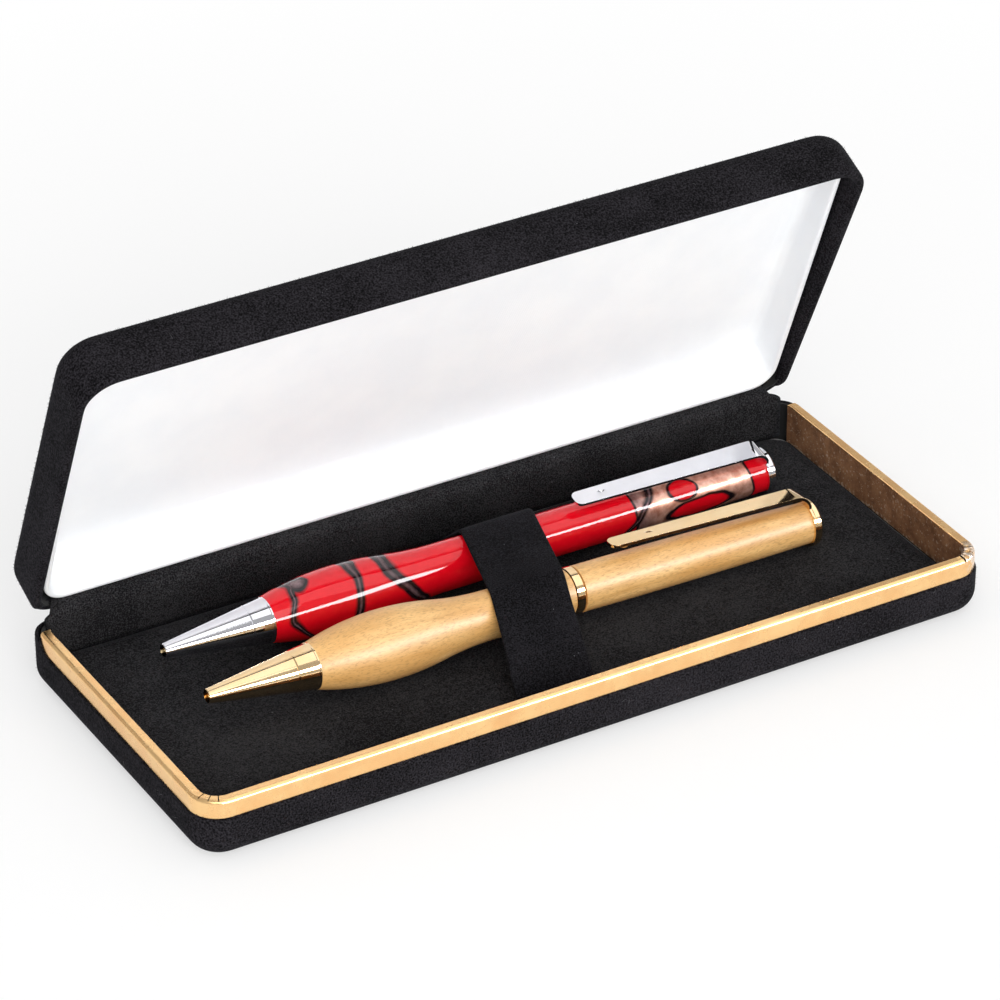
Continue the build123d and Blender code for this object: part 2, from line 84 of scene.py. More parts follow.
def link_object(name, data):
    """A new object of that mesh, camera or lamp, in the scene."""
    made = bpy.data.objects.new(name, data)
    bpy.context.scene.collection.objects.link(made)
    return made


def ripple(point, size, seed=0.0):
    """Smooth noise from about -1 to 1 at a point in millimetres, with bumps of that size."""
    return noise.noise(Vector(point) / size + Vector((seed, seed * 1.7, -seed)))


# %% [markdown]
# ## The camera
# The photograph was taken from the front left and above, with a long lens, so that edges that
# run away hardly close in. The camera looks at a point beside the middle of the box. Setting it
# first means that every later step can be compared with the photograph at once.

# %% Camera
view_azimuth = 30.035
view_elevation = 31.469
view_roll = -0.171
view_distance = 1035.79
view_target = Vector((24.637, 47.414, 0))

heading = radians(view_azimuth)
height = radians(view_elevation)
forward = Vector((sin(heading) * cos(height), cos(heading) * cos(height), -sin(height)))
camera_data = bpy.data.cameras.new("camera")
camera_data.lens = 183.79
camera_data.sensor_width = 36
camera_data.clip_start = 0.05
camera_data.clip_end = 20
camera = link_object("camera", camera_data)
turn = forward.to_track_quat("-Z", "Y").to_matrix().to_4x4()
place = Matrix.Translation((view_target - forward * view_distance) * MM)
camera.matrix_world = place @ turn @ Matrix.Rotation(radians(view_roll), 4, "Z")
bpy.context.scene.camera = camera
print("camera at", [round(x, 3) for x in camera.location])

# %% [markdown]
# ## The hinge
# The frame states the hinge's axis and how far the lid turns. Closing is the joint's lower limit,
# so the same angle the other way takes a point of the closed lid to where it is now.

# %% Turning the closed lid open
hinge = next(joint for joint in frame["joints"] if joint["name"] == "lid_hinge")
hinge_y = hinge["pos_m"][1] / MM
hinge_z = hinge["pos_m"][2] / MM
open_angle = radians(-hinge["range_deg"][0])
print("the lid is open by", round(open_angle * 180 / pi, 1), "degrees")


def opened(x, y, z):
    """Where a point of the closed lid, in millimetres, lies with the lid open."""
    away_y = y - hinge_y
    away_z = z - hinge_z
    open_y = away_y * cos(open_angle) + away_z * sin(open_angle)
    open_z = -away_y * sin(open_angle) + away_z * cos(open_angle)
    return Vector((x, hinge_y + open_y, hinge_z + open_z))


def as_drawn(x, y, z):
    """A point of the base stays where it is drawn."""
    return Vector((x, y, z))


# %% [markdown]
# ## Rings and lofts
# Both halves of the box are rounded rectangles, and so are the pad and the lining. A skin of
# cloth is therefore lofted through rings. Every ring has the same number of points, so a quad
# joins each pair of neighbours, and the rings can shrink to the middle of a panel. The rings
# are named by how far they stand in from the outline.

# %% Outlines, rings and the skin between them
Outline = namedtuple("Outline", "half_x half_y corner back_corner middle_y")
LONG_STEPS = 64
SHORT_STEPS = 28
CORNER_STEPS = 8
SMALL_CORNER = 0.4


def ring(outline, inset):
    """Points (x, y) of the outline drawn in by inset, counterclockwise from the right front corner."""
    half_x = outline.half_x - inset
    half_y = outline.half_y - inset
    smallest = min(SMALL_CORNER, half_y * 0.5)
    front = max(outline.corner - inset, smallest)
    back = max(outline.back_corner - inset, smallest)
    points = []
    runs = [(1, -1, front, SHORT_STEPS), (1, 1, back, LONG_STEPS),
            (-1, 1, back, SHORT_STEPS), (-1, -1, front, LONG_STEPS)]
    for index, (side_x, side_y, corner, steps) in enumerate(runs):
        centre = Vector((side_x * (half_x - corner), side_y * (half_y - corner)))
        for step in range(CORNER_STEPS + 1):
            angle = radians(90 * (index - 1) + 90 * step / CORNER_STEPS)
            points.append(centre + corner * Vector((cos(angle), sin(angle))))
        next_x, next_y, next_corner, unused = runs[(index + 1) % 4]
        along = Vector((next_x - side_x, next_y - side_y)).normalized()
        next_start = Vector((next_x * (half_x - next_corner), next_y * (half_y - next_corner)))
        next_start += next_corner * Vector((along.y, -along.x))
        for step in range(1, steps):
            points.append(points[-step].lerp(next_start, step / steps))
    return [(p.x, p.y + outline.middle_y) for p in points]


def link_cloth(name, data, levels=1):
    """A new piece of cloth: shaded smooth and rounded off, the same in view and render."""
    data.polygons.foreach_set("use_smooth", [True] * len(data.polygons))
    piece = link_object(name, data)
    if levels:
        smooth = piece.modifiers.new("smooth", "SUBSURF")
        smooth.levels = smooth.render_levels = levels
    print(name, "has", len(data.polygons), "faces before smoothing")
    return piece


# %% The grid that closes a skin's end
def grid_cap(outline, inset, level, turn_to):
    """Points on a grid inside a ring, row by row, and a function for the ring's index of an edge point."""
    edge = [Vector(point) for point in ring(outline, inset)]
    across = LONG_STEPS + CORNER_STEPS
    along = SHORT_STEPS + CORNER_STEPS
    right = CORNER_STEPS // 2
    back = right + along
    left = back + across
    front = left + along

    def on_edge(column, row):
        if row == 0:
            return (front + column) % len(edge)
        if row == along:
            return back + across - column
        return right + row if column == across else left + along - row

    inside = []
    for row in range(1, along):
        v = row / along
        for column in range(1, across):
            u = column / across
            low, high = edge[on_edge(column, 0)], edge[on_edge(column, along)]
            west, east = edge[on_edge(0, row)], edge[on_edge(across, row)]
            front_line = edge[on_edge(0, 0)].lerp(edge[on_edge(across, 0)], u)
            back_line = edge[on_edge(0, along)].lerp(edge[on_edge(across, along)], u)
            at = low.lerp(high, v) + west.lerp(east, u) - front_line.lerp(back_line, v)
            inside.append(placed(at.x, at.y, level, turn_to))
    return inside, on_edge, across, along


def cap_faces(cap, ring_start, inside_start, upward):
    """Quads of a grid cap between a ring's points and the points inside it."""
    inside, on_edge, across, along = cap

    def at(column, row):
        if 0 < row < along and 0 < column < across:
            return inside_start + (row - 1) * (across - 1) + column - 1
        return ring_start + on_edge(column, row)

    faces = []
    for row in range(along):
        for column in range(across):
            quad = (at(column, row), at(column + 1, row), at(column + 1, row + 1), at(column, row + 1))
            faces.append(quad if upward else tuple(reversed(quad)))
    return faces


# %% Skins
def loft_skin(name, rings, first_cap=None, last_cap=None, levels=1):
    """A closed skin through rings of points in metres, its first and last ring filled."""
    data = bpy.data.meshes.new(name)
    count = len(rings[0])
    points = [point for each in rings for point in each]
    last = len(points) - count
    faces = []
    for low in range(0, last, count):
        for index in range(count):
            after = (index + 1) % count
            faces.append((low + index, low + after, low + count + after, low + count + index))
    for cap, start, upward in ((first_cap, 0, False), (last_cap, last, True)):
        if cap is None:
            flat = tuple(range(start, start + count))
            faces.append(flat if upward else tuple(reversed(flat)))
        else:
            faces += cap_faces(cap, start, len(points), upward)
            points += cap[0]
    data.from_pydata(points, [], faces)
    return link_cloth(name, data, levels)


def placed(x, y, level, turn_to):
    """A point in metres; its height is a number or a function of x and y."""
    return turn_to(x, y, level(x, y) if callable(level) else level) * MM


def skin_from_rows(name, rows, outline, turn_to, levels=1):
    """A closed skin from rows of (inset, height), with a grid across its first and its last ring."""
    rings = [[placed(x, y, level, turn_to) for x, y in ring(outline, inset)] for inset, level in rows]
    caps = [grid_cap(outline, *row, turn_to) for row in (rows[0], rows[-1])]
    return loft_skin(name, rings, *caps, levels)


def rounding(inset_low, inset_high, low, high, steps, rising=True):
    """Rows of a quarter round between two insets and two heights, without its two end rows."""
    rows = []
    for step in range(1, steps):
        angle = pi / 2 * step / steps
        if rising:
            rows.append((mix(inset_low, inset_high, sin(angle)), mix(low, high, 1 - cos(angle))))
        else:
            rows.append((mix(inset_low, inset_high, 1 - cos(angle)), mix(low, high, sin(angle))))
    return rows


# %% [markdown]
# ## Materials: the parts that several share
# A node group holds an effect that more than one finish needs. The pile of velvet, the weave of
# satin and the small wear of polished metal are made once, and each material sets its own sizes.
# A group gives out plain values only. Each material keeps its own shader. A Field stands for
# a node's socket, so that a sum on sockets is written, and read, as a sum.

# %% Adding nodes
def put(tree, kind, sockets=None, **settings):
    """Adds a node, sets what it is told, and fills its sockets with values, sockets or fields."""
    node = tree.nodes.new(kind if "Node" in kind else "ShaderNode" + kind)
    for name, value in settings.items():
        setattr(node, name, value)
    for name, value in (sockets or {}).items():
        fill(node.inputs[name], value)
    return node


def fill(socket, value):
    """Links a socket to a field or to another socket, or gives it a plain value."""
    value = value.socket if isinstance(value, Field) else value
    if isinstance(value, bpy.types.NodeSocket):
        socket.id_data.links.new(value, socket)
    else:
        socket.default_value = value


def dress(node, **values):
    """Fills a node's sockets by name, with _ for a space."""
    for name, value in values.items():
        fill(node.inputs[name.replace("_", " ")], value)


# %% Sums on sockets
def field(tree, kind, sockets=None, output=0, **settings):
    """Adds a node as put does, and gives one of its outputs as a field."""
    return Field(put(tree, kind, sockets, **settings).outputs[output])


def combined(operation, *values):
    """One Math node on numbers and fields."""
    tree = next(value.tree for value in values if isinstance(value, Field))
    return field(tree, "Math", dict(enumerate(values)), operation=operation)


class Field:
    """A socket's value, which changes over the surface; a sum with it makes a Math node."""

    def __init__(self, socket):
        self.socket = socket
        self.tree = socket.id_data

    def __add__(self, other):
        return combined("ADD", self, other)

    def __sub__(self, other):
        return combined("SUBTRACT", self, other)

    def __mul__(self, other):
        return combined("MULTIPLY", self, other)

    def __lt__(self, other):
        return combined("LESS_THAN", self, other)

    def __gt__(self, other):
        return combined("GREATER_THAN", self, other)

    def __rsub__(self, other):
        return combined("SUBTRACT", other, self)

    def __rtruediv__(self, other):
        return combined("DIVIDE", other, self)

    def __abs__(self):
        return combined("ABSOLUTE", self)

    def scaled(self, low_in, high_in, low_out=0.0, high_out=1.0):
        """The field brought from one range to another, held at its ends."""
        given = {"Value": self, "From Min": low_in, "From Max": high_in, "To Min": low_out, "To Max": high_out}
        return field(self.tree, "MapRange", given)


def highest(fields):
    """The highest of some fields."""
    return reduce(lambda first, second: combined("MAXIMUM", first, second), fields)


def lowest(fields):
    """The lowest of some fields."""
    return reduce(lambda first, second: combined("MINIMUM", first, second), fields)


# %% Vectors, noise, colours and bumps
def vector_sum(operation, *values):
    """A sum on vectors; a length, a distance and a dot product give a number."""
    output = "Value" if operation in ("LENGTH", "DISTANCE", "DOT_PRODUCT") else "Vector"
    return field(values[0].tree, "VectorMath", dict(enumerate(values)), output, operation=operation)


def object_coordinates(tree, scale=(1, 1, 1)):
    """The piece's own coordinates in metres, stretched for a pattern."""
    return field(tree, "Mapping", {"Vector": field(tree, "TexCoord", output="Object"), "Scale": scale})


def axes(vector):
    """The three numbers of a vector."""
    return [Field(socket) for socket in put(vector.tree, "SeparateXYZ", {0: vector}).outputs]


def noise_field(vector, scale=1.0, detail=2.0, roughness=0.5, output="Fac", distortion=0.0):
    """Smooth noise on a vector."""
    given = {"Vector": vector, "Scale": scale, "Detail": detail, "Roughness": roughness}
    return field(vector.tree, "TexNoise", {**given, "Distortion": distortion}, output)


def blend(share, first, second):
    """A colour that lies share of the way from first to second."""
    node = put(share.tree, "Mix", data_type="RGBA")
    for name, value in (("Factor", share), ("A", first), ("B", second)):
        socket = next(s for s in node.inputs if s.name == name and s.enabled)
        fill(socket, (*value, 1) if isinstance(value, tuple) else value)
    return Field(next(s for s in node.outputs if s.enabled))


def bump(height, distance, strength=1.0, **more):
    """The normal that a height gives; distance is in metres."""
    return field(height.tree, "Bump", {"Height": height, "Distance": distance, "Strength": strength, **more})


# %% Groups and materials
def fields_of(node):
    """A node's outputs by name, as fields."""
    return {socket.name: Field(socket) for socket in node.outputs if socket.name}


def new_group(name, inputs, outputs):
    """An empty node group: its tree, its inputs as fields, and its output node."""
    tree = bpy.data.node_groups.new(name, "ShaderNodeTree")
    for socket, value in inputs.items():
        kind = "NodeSocketVector" if value is None else "NodeSocketFloat"
        made = tree.interface.new_socket(socket, in_out="INPUT", socket_type=kind)
        if value is not None:
            made.default_value = value
    for socket in outputs:
        tree.interface.new_socket(socket, in_out="OUTPUT", socket_type="NodeSocketFloat")
    print("group", name, "gives", ", ".join(outputs))
    return tree, fields_of(tree.nodes.new("NodeGroupInput")), tree.nodes.new("NodeGroupOutput")


def use_group(tree, group, **values):
    """Places a group in a material with its own values; gives its outputs as fields."""
    node = tree.nodes.new("ShaderNodeGroup")
    node.node_tree = group
    dress(node, **values)
    return fields_of(node)


def new_material(name, **plain):
    """A material, its tree and its shader, with plain values on the shader's own sockets."""
    material = bpy.data.materials.new(name)
    material.use_nodes = True
    shader = material.node_tree.nodes["Principled BSDF"]
    dress(shader, **plain)
    print("material", name)
    return material, material.node_tree, shader


# %% Group: the pile of velvet
lint_places = 0.9 / MM
lint_share = 0.045


def make_pile_group():
    """Short fibres, the patches where they lie another way, and a few flecks of lint."""
    inputs = {"Vector": None, "Fibre Size": 0.25, "Patch Size": 14.0}
    tree, given, made = new_group("velvet_pile", inputs, ("Shade", "Fleck", "Height"))
    fibres = noise_field(given["Vector"], (1 / MM) / given["Fibre Size"])
    patches = noise_field(given["Vector"], (1 / MM) / given["Patch Size"], 4.0, 0.6)
    lint = put(tree, "TexVoronoi", {"Vector": given["Vector"], "Scale": lint_places}).outputs
    near = Field(lint["Distance"]).scaled(0.05, 0.13, 1.0, 0.0)
    chance = field(tree, "SeparateColor", {"Color": lint["Color"]})
    fleck = near * chance.scaled(1 - lint_share, 1.01 - lint_share)
    dress(made, Shade=fibres * 0.75 + patches * 0.25, Fleck=fleck, Height=fibres)
    return tree


pile_group = make_pile_group()


# %% Group: small wear of polished metal
def make_wear_group():
    """Fine scratches, smears and specks that make polished metal look handled."""
    inputs = {"Vector": None, "Scratch Size": 0.6, "Speck Share": 0.03}
    tree, given, made = new_group("metal_wear", inputs, ("Smear", "Speck", "Height"))
    scale = (1 / MM) / given["Scratch Size"]
    smear = noise_field(given["Vector"], 130.0, 5.0, 0.65)
    fine = noise_field(given["Vector"], scale, 3.0, 0.7)
    specks = noise_field(given["Vector"], scale * 1.4) + given["Speck Share"]
    dress(made, Smear=smear, Speck=specks.scaled(0.75, 0.75 + 1 / 12), Height=fine)
    return tree


wear_group = make_wear_group()


# %% Group: a fine weave
def make_weave_group():
    """Crossed threads on the diagonal, with the slight unevenness of real yarn."""
    tree, given, made = new_group("fine_weave", {"Vector": None, "Thread Size": 0.35}, ("Shade", "Height"))
    wave = {"Vector": given["Vector"], "Scale": (0.5 / MM) / given["Thread Size"], "Distortion": 0.6}
    threads = [field(tree, "TexWave", wave, "Fac", wave_type="BANDS", bands_direction=way)
               for way in ("X", "DIAGONAL")]
    dress(made, Shade=noise_field(given["Vector"], 90.0, 4.0), Height=highest(threads))
    return tree


weave_group = make_weave_group()

# %% [markdown]
# ## The finishes
# Black velvet is hardly black: its pile catches light at a glancing angle, which the shader's
# sheen gives, and lint and brushed patches break it up. Satin is nearly white with a faint
# weave. The rim is gold-coloured brass with a speckled inner face, painted darker as a painted reflection of
# the velvet.

# %% Black velvet and the strap's cloth
def make_velvet(name, dark, bright, sheen, fibre_size):
    """Deep black pile: fibre grain in the colour, lint, and a soft sheen."""
    material, tree, shader = new_material(
        name, Roughness=1.0, Sheen_Weight=sheen, Sheen_Roughness=0.35, Sheen_Tint=(0.72, 0.76, 0.9, 1),
        Specular_IOR_Level=0.08)
    pile = use_group(tree, pile_group, Vector=object_coordinates(tree), Fibre_Size=fibre_size)
    colour = blend(pile["Fleck"], blend(pile["Shade"].scaled(0.4, 0.62), dark, bright), (0.12, 0.12, 0.13))
    dress(shader, Base_Color=colour, Normal=bump(pile["Height"], 0.12 * MM, 0.5))
    return material


outer_velvet = make_velvet("outer_velvet", (0.0005, 0.0005, 0.0008), (0.023, 0.021, 0.025), 0.025, 0.36)
pad_finish = make_velvet("pad_velvet_finish", (0.003, 0.003, 0.0035), (0.033, 0.032, 0.034), 0.04, 0.28)
strap_finish = make_velvet("strap_finish", (0.0005, 0.0005, 0.0008), (0.015, 0.014, 0.017), 0.02, 0.3)
nap_finish = make_velvet("nap_finish", (0.004, 0.004, 0.005), (0.03, 0.029, 0.033), 0.0, 0.3)
lint_finish = make_velvet("lint_finish", (0.06, 0.06, 0.065), (0.12, 0.12, 0.125), 0.0, 0.3)


# %% White satin
def make_satin():
    """Smooth white lining with a fine weave and hardly any shine."""
    material, tree, shader = new_material(
        "white_satin", Roughness=0.5, Sheen_Weight=0.1, Sheen_Roughness=0.3, Specular_IOR_Level=0.3)
    weave = use_group(tree, weave_group, Vector=object_coordinates(tree), Thread_Size=0.3)
    colour = blend(weave["Shade"].scaled(0.35, 0.65), (0.86, 0.88, 0.905), (0.895, 0.91, 0.925))
    dress(shader, Base_Color=colour, Normal=bump(weave["Height"], 0.03 * MM, 0.35))
    return material


satin_finish = make_satin()


# %% Plated metals
def make_metal(name, colour, dark, roughness, speck_share=0.0, dimple=None):
    """Polished plate with smears in its roughness, a few specks and, on a clip, a pressed dimple."""
    material, tree, shader = new_material(name, Metallic=1.0)
    wear = use_group(tree, wear_group, Vector=object_coordinates(tree), Speck_Share=speck_share)
    plate = blend(wear["Speck"], blend(wear["Smear"].scaled(0.35, 0.65), dark, colour), (0.1, 0.07, 0.05))
    rough = wear["Smear"].scaled(0.3, 0.7, roughness * 0.7, roughness * 1.4)
    normal = bump(wear["Height"], 0.004 * MM, 0.5)
    if dimple:
        oval = object_coordinates(tree, scale=(0.6 / MM, 1 / MM, 0))
        away = vector_sum("DISTANCE", oval, (dimple[0] * 0.6, dimple[1], 0))
        normal = bump(away.scaled(0.15, 0.75), 0.2 * MM, Normal=normal)
    dress(shader, Base_Color=plate, Roughness=rough, Normal=normal)
    return material


chrome = make_metal("chrome", (0.8, 0.8, 0.84), (0.74, 0.74, 0.78), 0.05, dimple=(27.6, 12.6))
gold = make_metal("gold", (0.94, 0.71, 0.43), (0.89, 0.64, 0.35), 0.08, dimple=(27.8, -4.5))
steel = make_metal("steel", (0.6, 0.6, 0.6), (0.45, 0.45, 0.45), 0.3, 0.05)
brass = make_metal("brass", (0.85, 0.65, 0.3), (0.7, 0.5, 0.22), 0.25, 0.03)
ink_metal = make_metal("ink_metal", (0.8, 0.62, 0.32), (0.6, 0.44, 0.2), 0.2, 0.02)

# %% [markdown]
# The rim's strip is bright outside. Its leg inside the tray is painted brown, a painted reflection of
# the dark velvet, and has pale specks, more of them near its lower edge. The corner at the right front
# is crumpled, one slit there is painted as a black line of shade, and masks say what lies where.

# %% The rim's copper gold, with a painted dark reflection on its inner leg
def make_rim_metal():
    """Copper-gold strip with a painted dark reflection and specks on the leg inside the tray, crumpled at one
    corner, where a slit is painted black as shade.
    """
    material, tree, shader = new_material("rim_gold")
    coordinates = object_coordinates(tree)
    x, y, z = axes(coordinates)
    low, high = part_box("rim_trim")
    leg = (abs(x) < high.x - 1.9 * MM) * (y > low.y + 1.9 * MM) * (z < high.z - 0.3 * MM)
    smear = use_group(tree, wear_group, Vector=coordinates)["Smear"]
    bright = blend(smear.scaled(0.35, 0.65), (0.94, 0.55, 0.24), (1.0, 0.66, 0.31))

    leg_mottle = noise_field(coordinates, 260.0, 6.0, 0.75)
    # Painted reflection: the leg's brown stands in for the dark velvet that the metal mirrors; the pale specks
    # added to it are dust and wear.
    painted_dark_leg = blend(leg_mottle.scaled(0.35, 0.65), (0.15, 0.066, 0.03), (0.36, 0.18, 0.09))
    worn_edge = z.scaled(low.z, low.z + 0.9 * MM, 0.12, 0.0)
    spots = noise_field(coordinates, 1500.0, 3.0, 0.7) + worn_edge + leg_mottle.scaled(0.5, 0.75, 0.0, 0.08)
    painted_dark_leg = blend(spots.scaled(0.61, 0.66), painted_dark_leg, (0.52, 0.38, 0.28))

    from_corner = vector_sum("DISTANCE", coordinates, (high.x - 2 * MM, low.y + 2 * MM, high.z))
    crumpled = from_corner.scaled(2.5 * MM, 4.2 * MM, 1.0, 0.0)
    creases = noise_field(coordinates, 700.0, 3.0)
    pale = creases.scaled(0.4, 0.55, 0.0, 0.9) * crumpled
    # Painted shade: a black line where one slit of the fold opens at the crumpled corner.
    painted_slit_shade = abs(x - (high.x - 4.9 * MM)).scaled(0.16 * MM, 0.26 * MM, 1.0, 0.0)
    painted_slit_shade = painted_slit_shade * (y < low.y + 2.4 * MM) * (z > high.z - 0.5 * MM)
    colour = blend(painted_slit_shade, blend(pale, blend(leg, bright, painted_dark_leg), (0.95, 0.8, 0.68)), (0.004, 0.003, 0.003))
    rough = smear.scaled(0.3, 0.7, 0.2, 0.32) + leg * 0.25
    dress(shader, Base_Color=colour, Metallic=leg * -0.65 + 1.0, Roughness=rough,
          Normal=bump(creases * crumpled, 0.9 * MM))
    return material


rim_gold = make_rim_metal()

# %% [markdown]
# ## Red acrylic
# The blank that such a barrel is turned from is poured: red resin is folded with a pearl one,
# and a black film lies between the two. The pattern is made as real folds would be cut. Each
# vein is a slanted sheet through the barrel with a grey core in a black halo. Near the clip lies
# a zone of pearl, and islands of red in it are blobs that the barrel's skin cuts. The film
# follows every border, and a slow noise sways the whole.

# %% The pour: veins, the eye, islands and the zone of pearl, in millimetres
Vein = namedtuple("Vein", "at slant bend width")
Blob = namedtuple("Blob", "centre radii")
axis_height = 12.32
axis_fall = 0.0177
veins = [
    Vein(-42.4, -0.49, 0.14, 0.35), Vein(-29.6, 0.22, 0.0, 0.75),
    Vein(-16.8, -0.8, 0.0, 1.1), Vein(34.6, 0.95, 0.0, 0.6),
]
eye = Blob((-39.4, 14.4, 18.6), (1.9, 2.6, 2.6))
islands = [
    Blob((45.9, 11.6, 15.3), (3.1, 2.5, 2.5)), Blob((49.4, 9.9, 10.3), (7.6, 2.9, 2.4)),
    Blob((55.0, 17.6, 15.2), (4.2, 2.6, 2.2)), Blob((43.0, 14.6, 6.9), (5.0, 3.0, 2.3)),
    Blob((50.0, 19.3, 10.6), (5.0, 2.0, 2.4)),
]
pearl_from = 34.6
pearl_to = 61.6
print("the pour has", len(veins), "veins and", len(islands), "islands")


def blob_level(place, blob):
    """How far outside a blob a point lies: 0 on its skin, negative inside."""
    away = vector_sum("DIVIDE", vector_sum("SUBTRACT", place, blob.centre), blob.radii)
    return (vector_sum("LENGTH", away) - 1.0) * min(blob.radii)


def vein_distance(along, across, vein):
    """Distance in millimetres along the pen from a vein's bent sheet."""
    return abs(along - (across * (across * vein.bend + vein.slant) + vein.at))


# %% Red acrylic with pearl veins and patches
def make_red_acrylic():
    """Glossy red with veins across the lower barrel and pearl patches towards the clip."""
    material, tree, shader = new_material(
        "red_acrylic", Roughness=0.3, Specular_IOR_Level=0.0,
        Coat_Weight=1.0, Coat_Roughness=0.02, Coat_IOR=1.5)
    still = object_coordinates(tree, scale=(1 / MM, 1 / MM, 1 / MM))
    sway = vector_sum("SUBTRACT", noise_field(still, 0.16, 1.5, output="Color"), (0.5, 0.5, 0.5))
    swayed = vector_sum("ADD", still, vector_sum("MULTIPLY", sway, (3.0, 2.0, 2.0)))
    along, unused, up = axes(swayed)
    across = along * axis_fall + up - axis_height

    eye_level = blob_level(swayed, eye)
    cores = [eye_level.scaled(-1.2, -0.3, 0.9, 0.0)]
    halos = [eye_level.scaled(0.0, 0.6, 1.0, 0.0)]
    for vein in veins:
        away = vein_distance(along, across, vein)
        cores.append(away.scaled(vein.width * 0.05, vein.width * 0.6, 0.7, 0.0))
        halos.append(away.scaled(vein.width + 0.1, vein.width + 0.8, 1.0, 0.0))

    level = lowest([along - pearl_from, pearl_to - along, *(blob_level(swayed, island) for island in islands)])
    patch = level.scaled(-0.05, 0.1)
    border = abs(level).scaled(0.14, 0.42, 1.0, 0.0)

    glow = noise_field(still, 0.6, 5.0, 0.6)
    shimmer = glow.scaled(0.35, 0.65)
    red = blend(glow, (0.6, 0.001, 0.008), (0.74, 0.005, 0.014))
    grey_pearl = blend(shimmer, (0.09, 0.045, 0.05), (0.24, 0.15, 0.165))
    bronze_pearl = blend(shimmer, (0.46, 0.2, 0.14), (0.72, 0.42, 0.33))
    smoky = along.scaled(pearl_from + 1.0, pearl_from + 5.0, 0.75, 0.0)
    black_film = (0.012, 0.006, 0.008)
    colour = blend(patch, red, blend(smoky, bronze_pearl, grey_pearl))
    colour = blend(highest(halos), blend(border, colour, black_film), black_film)
    dress(shader, Base_Color=blend(highest(cores), colour, grey_pearl), Metallic=patch * 0.45)
    return material


red_acrylic = make_red_acrylic()

# %% [markdown]
# ## Light wood
# The wooden barrels are pale, close-grained and lacquered. The grain runs along the pen, so
# every noise is stretched along X. Short dark pores, a ripple of lighter and darker bands and
# a thin lacquer coat make the wood. Card and foam show only at edges, and are matt and fibrous.

# %% Light wood
def make_light_wood():
    """Pale close-grained wood under satin lacquer."""
    material, tree, shader = new_material("light_wood", Roughness=0.45, Coat_Weight=0.3, Coat_Roughness=0.32)
    bands = noise_field(object_coordinates(tree, (60, 420, 420)), 1.0, 4.0, 0.6, distortion=0.3)
    pores = noise_field(object_coordinates(tree, (900, 3800, 3800)), 1.0, 2.0, 0.6)
    clouds = noise_field(object_coordinates(tree, (45, 120, 120)))
    colour = blend(bands.scaled(0.3, 0.7), (0.6, 0.31, 0.085), (0.88, 0.56, 0.225))
    colour = blend(clouds.scaled(0.4, 0.65, 0.0, 0.6), colour, (0.7, 0.36, 0.105))
    colour = blend(pores.scaled(0.5, 0.66, 0.0, 0.6), colour, (0.45, 0.22, 0.06))
    dress(shader, Base_Color=colour, Normal=bump(pores, 0.02 * MM, 0.25))
    return material


light_wood = make_light_wood()


# %% Card, foam and black lacquer
def make_plain_fibre(name, dark, bright, size):
    """Matt fibrous stuff such as card or foam."""
    material, tree, shader = new_material(name, Roughness=0.9)
    grain = noise_field(object_coordinates(tree), 1 / (size * MM), 5.0)
    dress(shader, Base_Color=blend(grain, dark, bright), Normal=bump(grain, 0.05 * MM, 0.4))
    return material


card = make_plain_fibre("card", (0.35, 0.3, 0.24), (0.55, 0.48, 0.38), 0.4)
foam = make_plain_fibre("foam", (0.1, 0.1, 0.1), (0.2, 0.2, 0.2), 0.3)
black_lacquer = make_plain_fibre("black_lacquer", (0.003, 0.003, 0.003), (0.008, 0.008, 0.008), 0.8)

# %% [markdown]
# ## Finishing the hard pieces
# The hard pieces come from the frame with their shape, and each gets its own material. The
# clips alone change: a weld joins their loose triangles, so that a bevel can round the edges to
# the polished lip of the photograph.

# %% Materials on the frame's own pieces
finishes = {
    "base_shell": black_lacquer, "lid_shell": black_lacquer, "rim_trim": rim_gold,
    "insert_board": card, "insert_foam": foam, "lining_card": card,
    "hinge_base_leaf": steel, "hinge_lid_leaf": steel, "hinge_pin": steel, "snap_spring": steel,
}
for pen, barrel, plate in (("red", red_acrylic, chrome), ("wood", light_wood, gold)):
    for piece in ("nib", "centre_band", "clip", "cap"):
        finishes[f"{pen}_pen_{piece}"] = plate
    for piece in ("lower_barrel", "upper_barrel"):
        finishes[f"{pen}_pen_{piece}"] = barrel
    for piece in ("lower_tube", "upper_tube", "twist_sleeve", "twist_driver"):
        finishes[f"{pen}_pen_{piece}"] = brass
    finishes[f"{pen}_pen_refill"] = ink_metal
for name, material in finishes.items():
    nodes[name].data.materials.clear()
    nodes[name].data.materials.append(material)
print(len(finishes), "hard pieces have their finish")

# %% Polished lips on the clips
weld_distance = 0.002
lip_width = 0.28
sharp_from = radians(40)
for pen in ("red", "wood"):
    clip = nodes[f"{pen}_pen_clip"]
    weld = clip.modifiers.new("weld", "WELD")
    weld.merge_threshold = weld_distance * MM
    lip = clip.modifiers.new("lip", "BEVEL")
    lip.width = lip_width * MM
    lip.segments = 4
    lip.angle_limit = sharp_from
    lip.harden_normals = True
print("clips have rounded lips")

# %% [markdown]
# ## Velvet over the base
# One skin starts under the tray, rounds its lower edge, climbs the wall and turns in under the
# metal rim. Behind the rim's two ends it climbs to the top of the back wall. Its inner side
# lies on the pressed tray.

# %% Base velvet
def cover(piece, finish, node):
    """Gives a cloth its finish and hides the node that it stands in for."""
    piece.data.materials.append(finish)
    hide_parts(node)


base_low, base_high = box_mm("base_cover")
rim_high = box_mm("rim_trim")[1]
base_corner = 6.5
base_back_corner = 4.9
base_outline = Outline(base_high.x, (base_high.y - base_low.y) / 2, base_corner, base_back_corner, 0.0)
base_edge = 4.5
velvet_thick = 0.7
rim_face = 3.7
rim_slant = 1.35
play = 0.05
under_rim = rim_high.z - rim_face - play
back_top = base_high.z - play


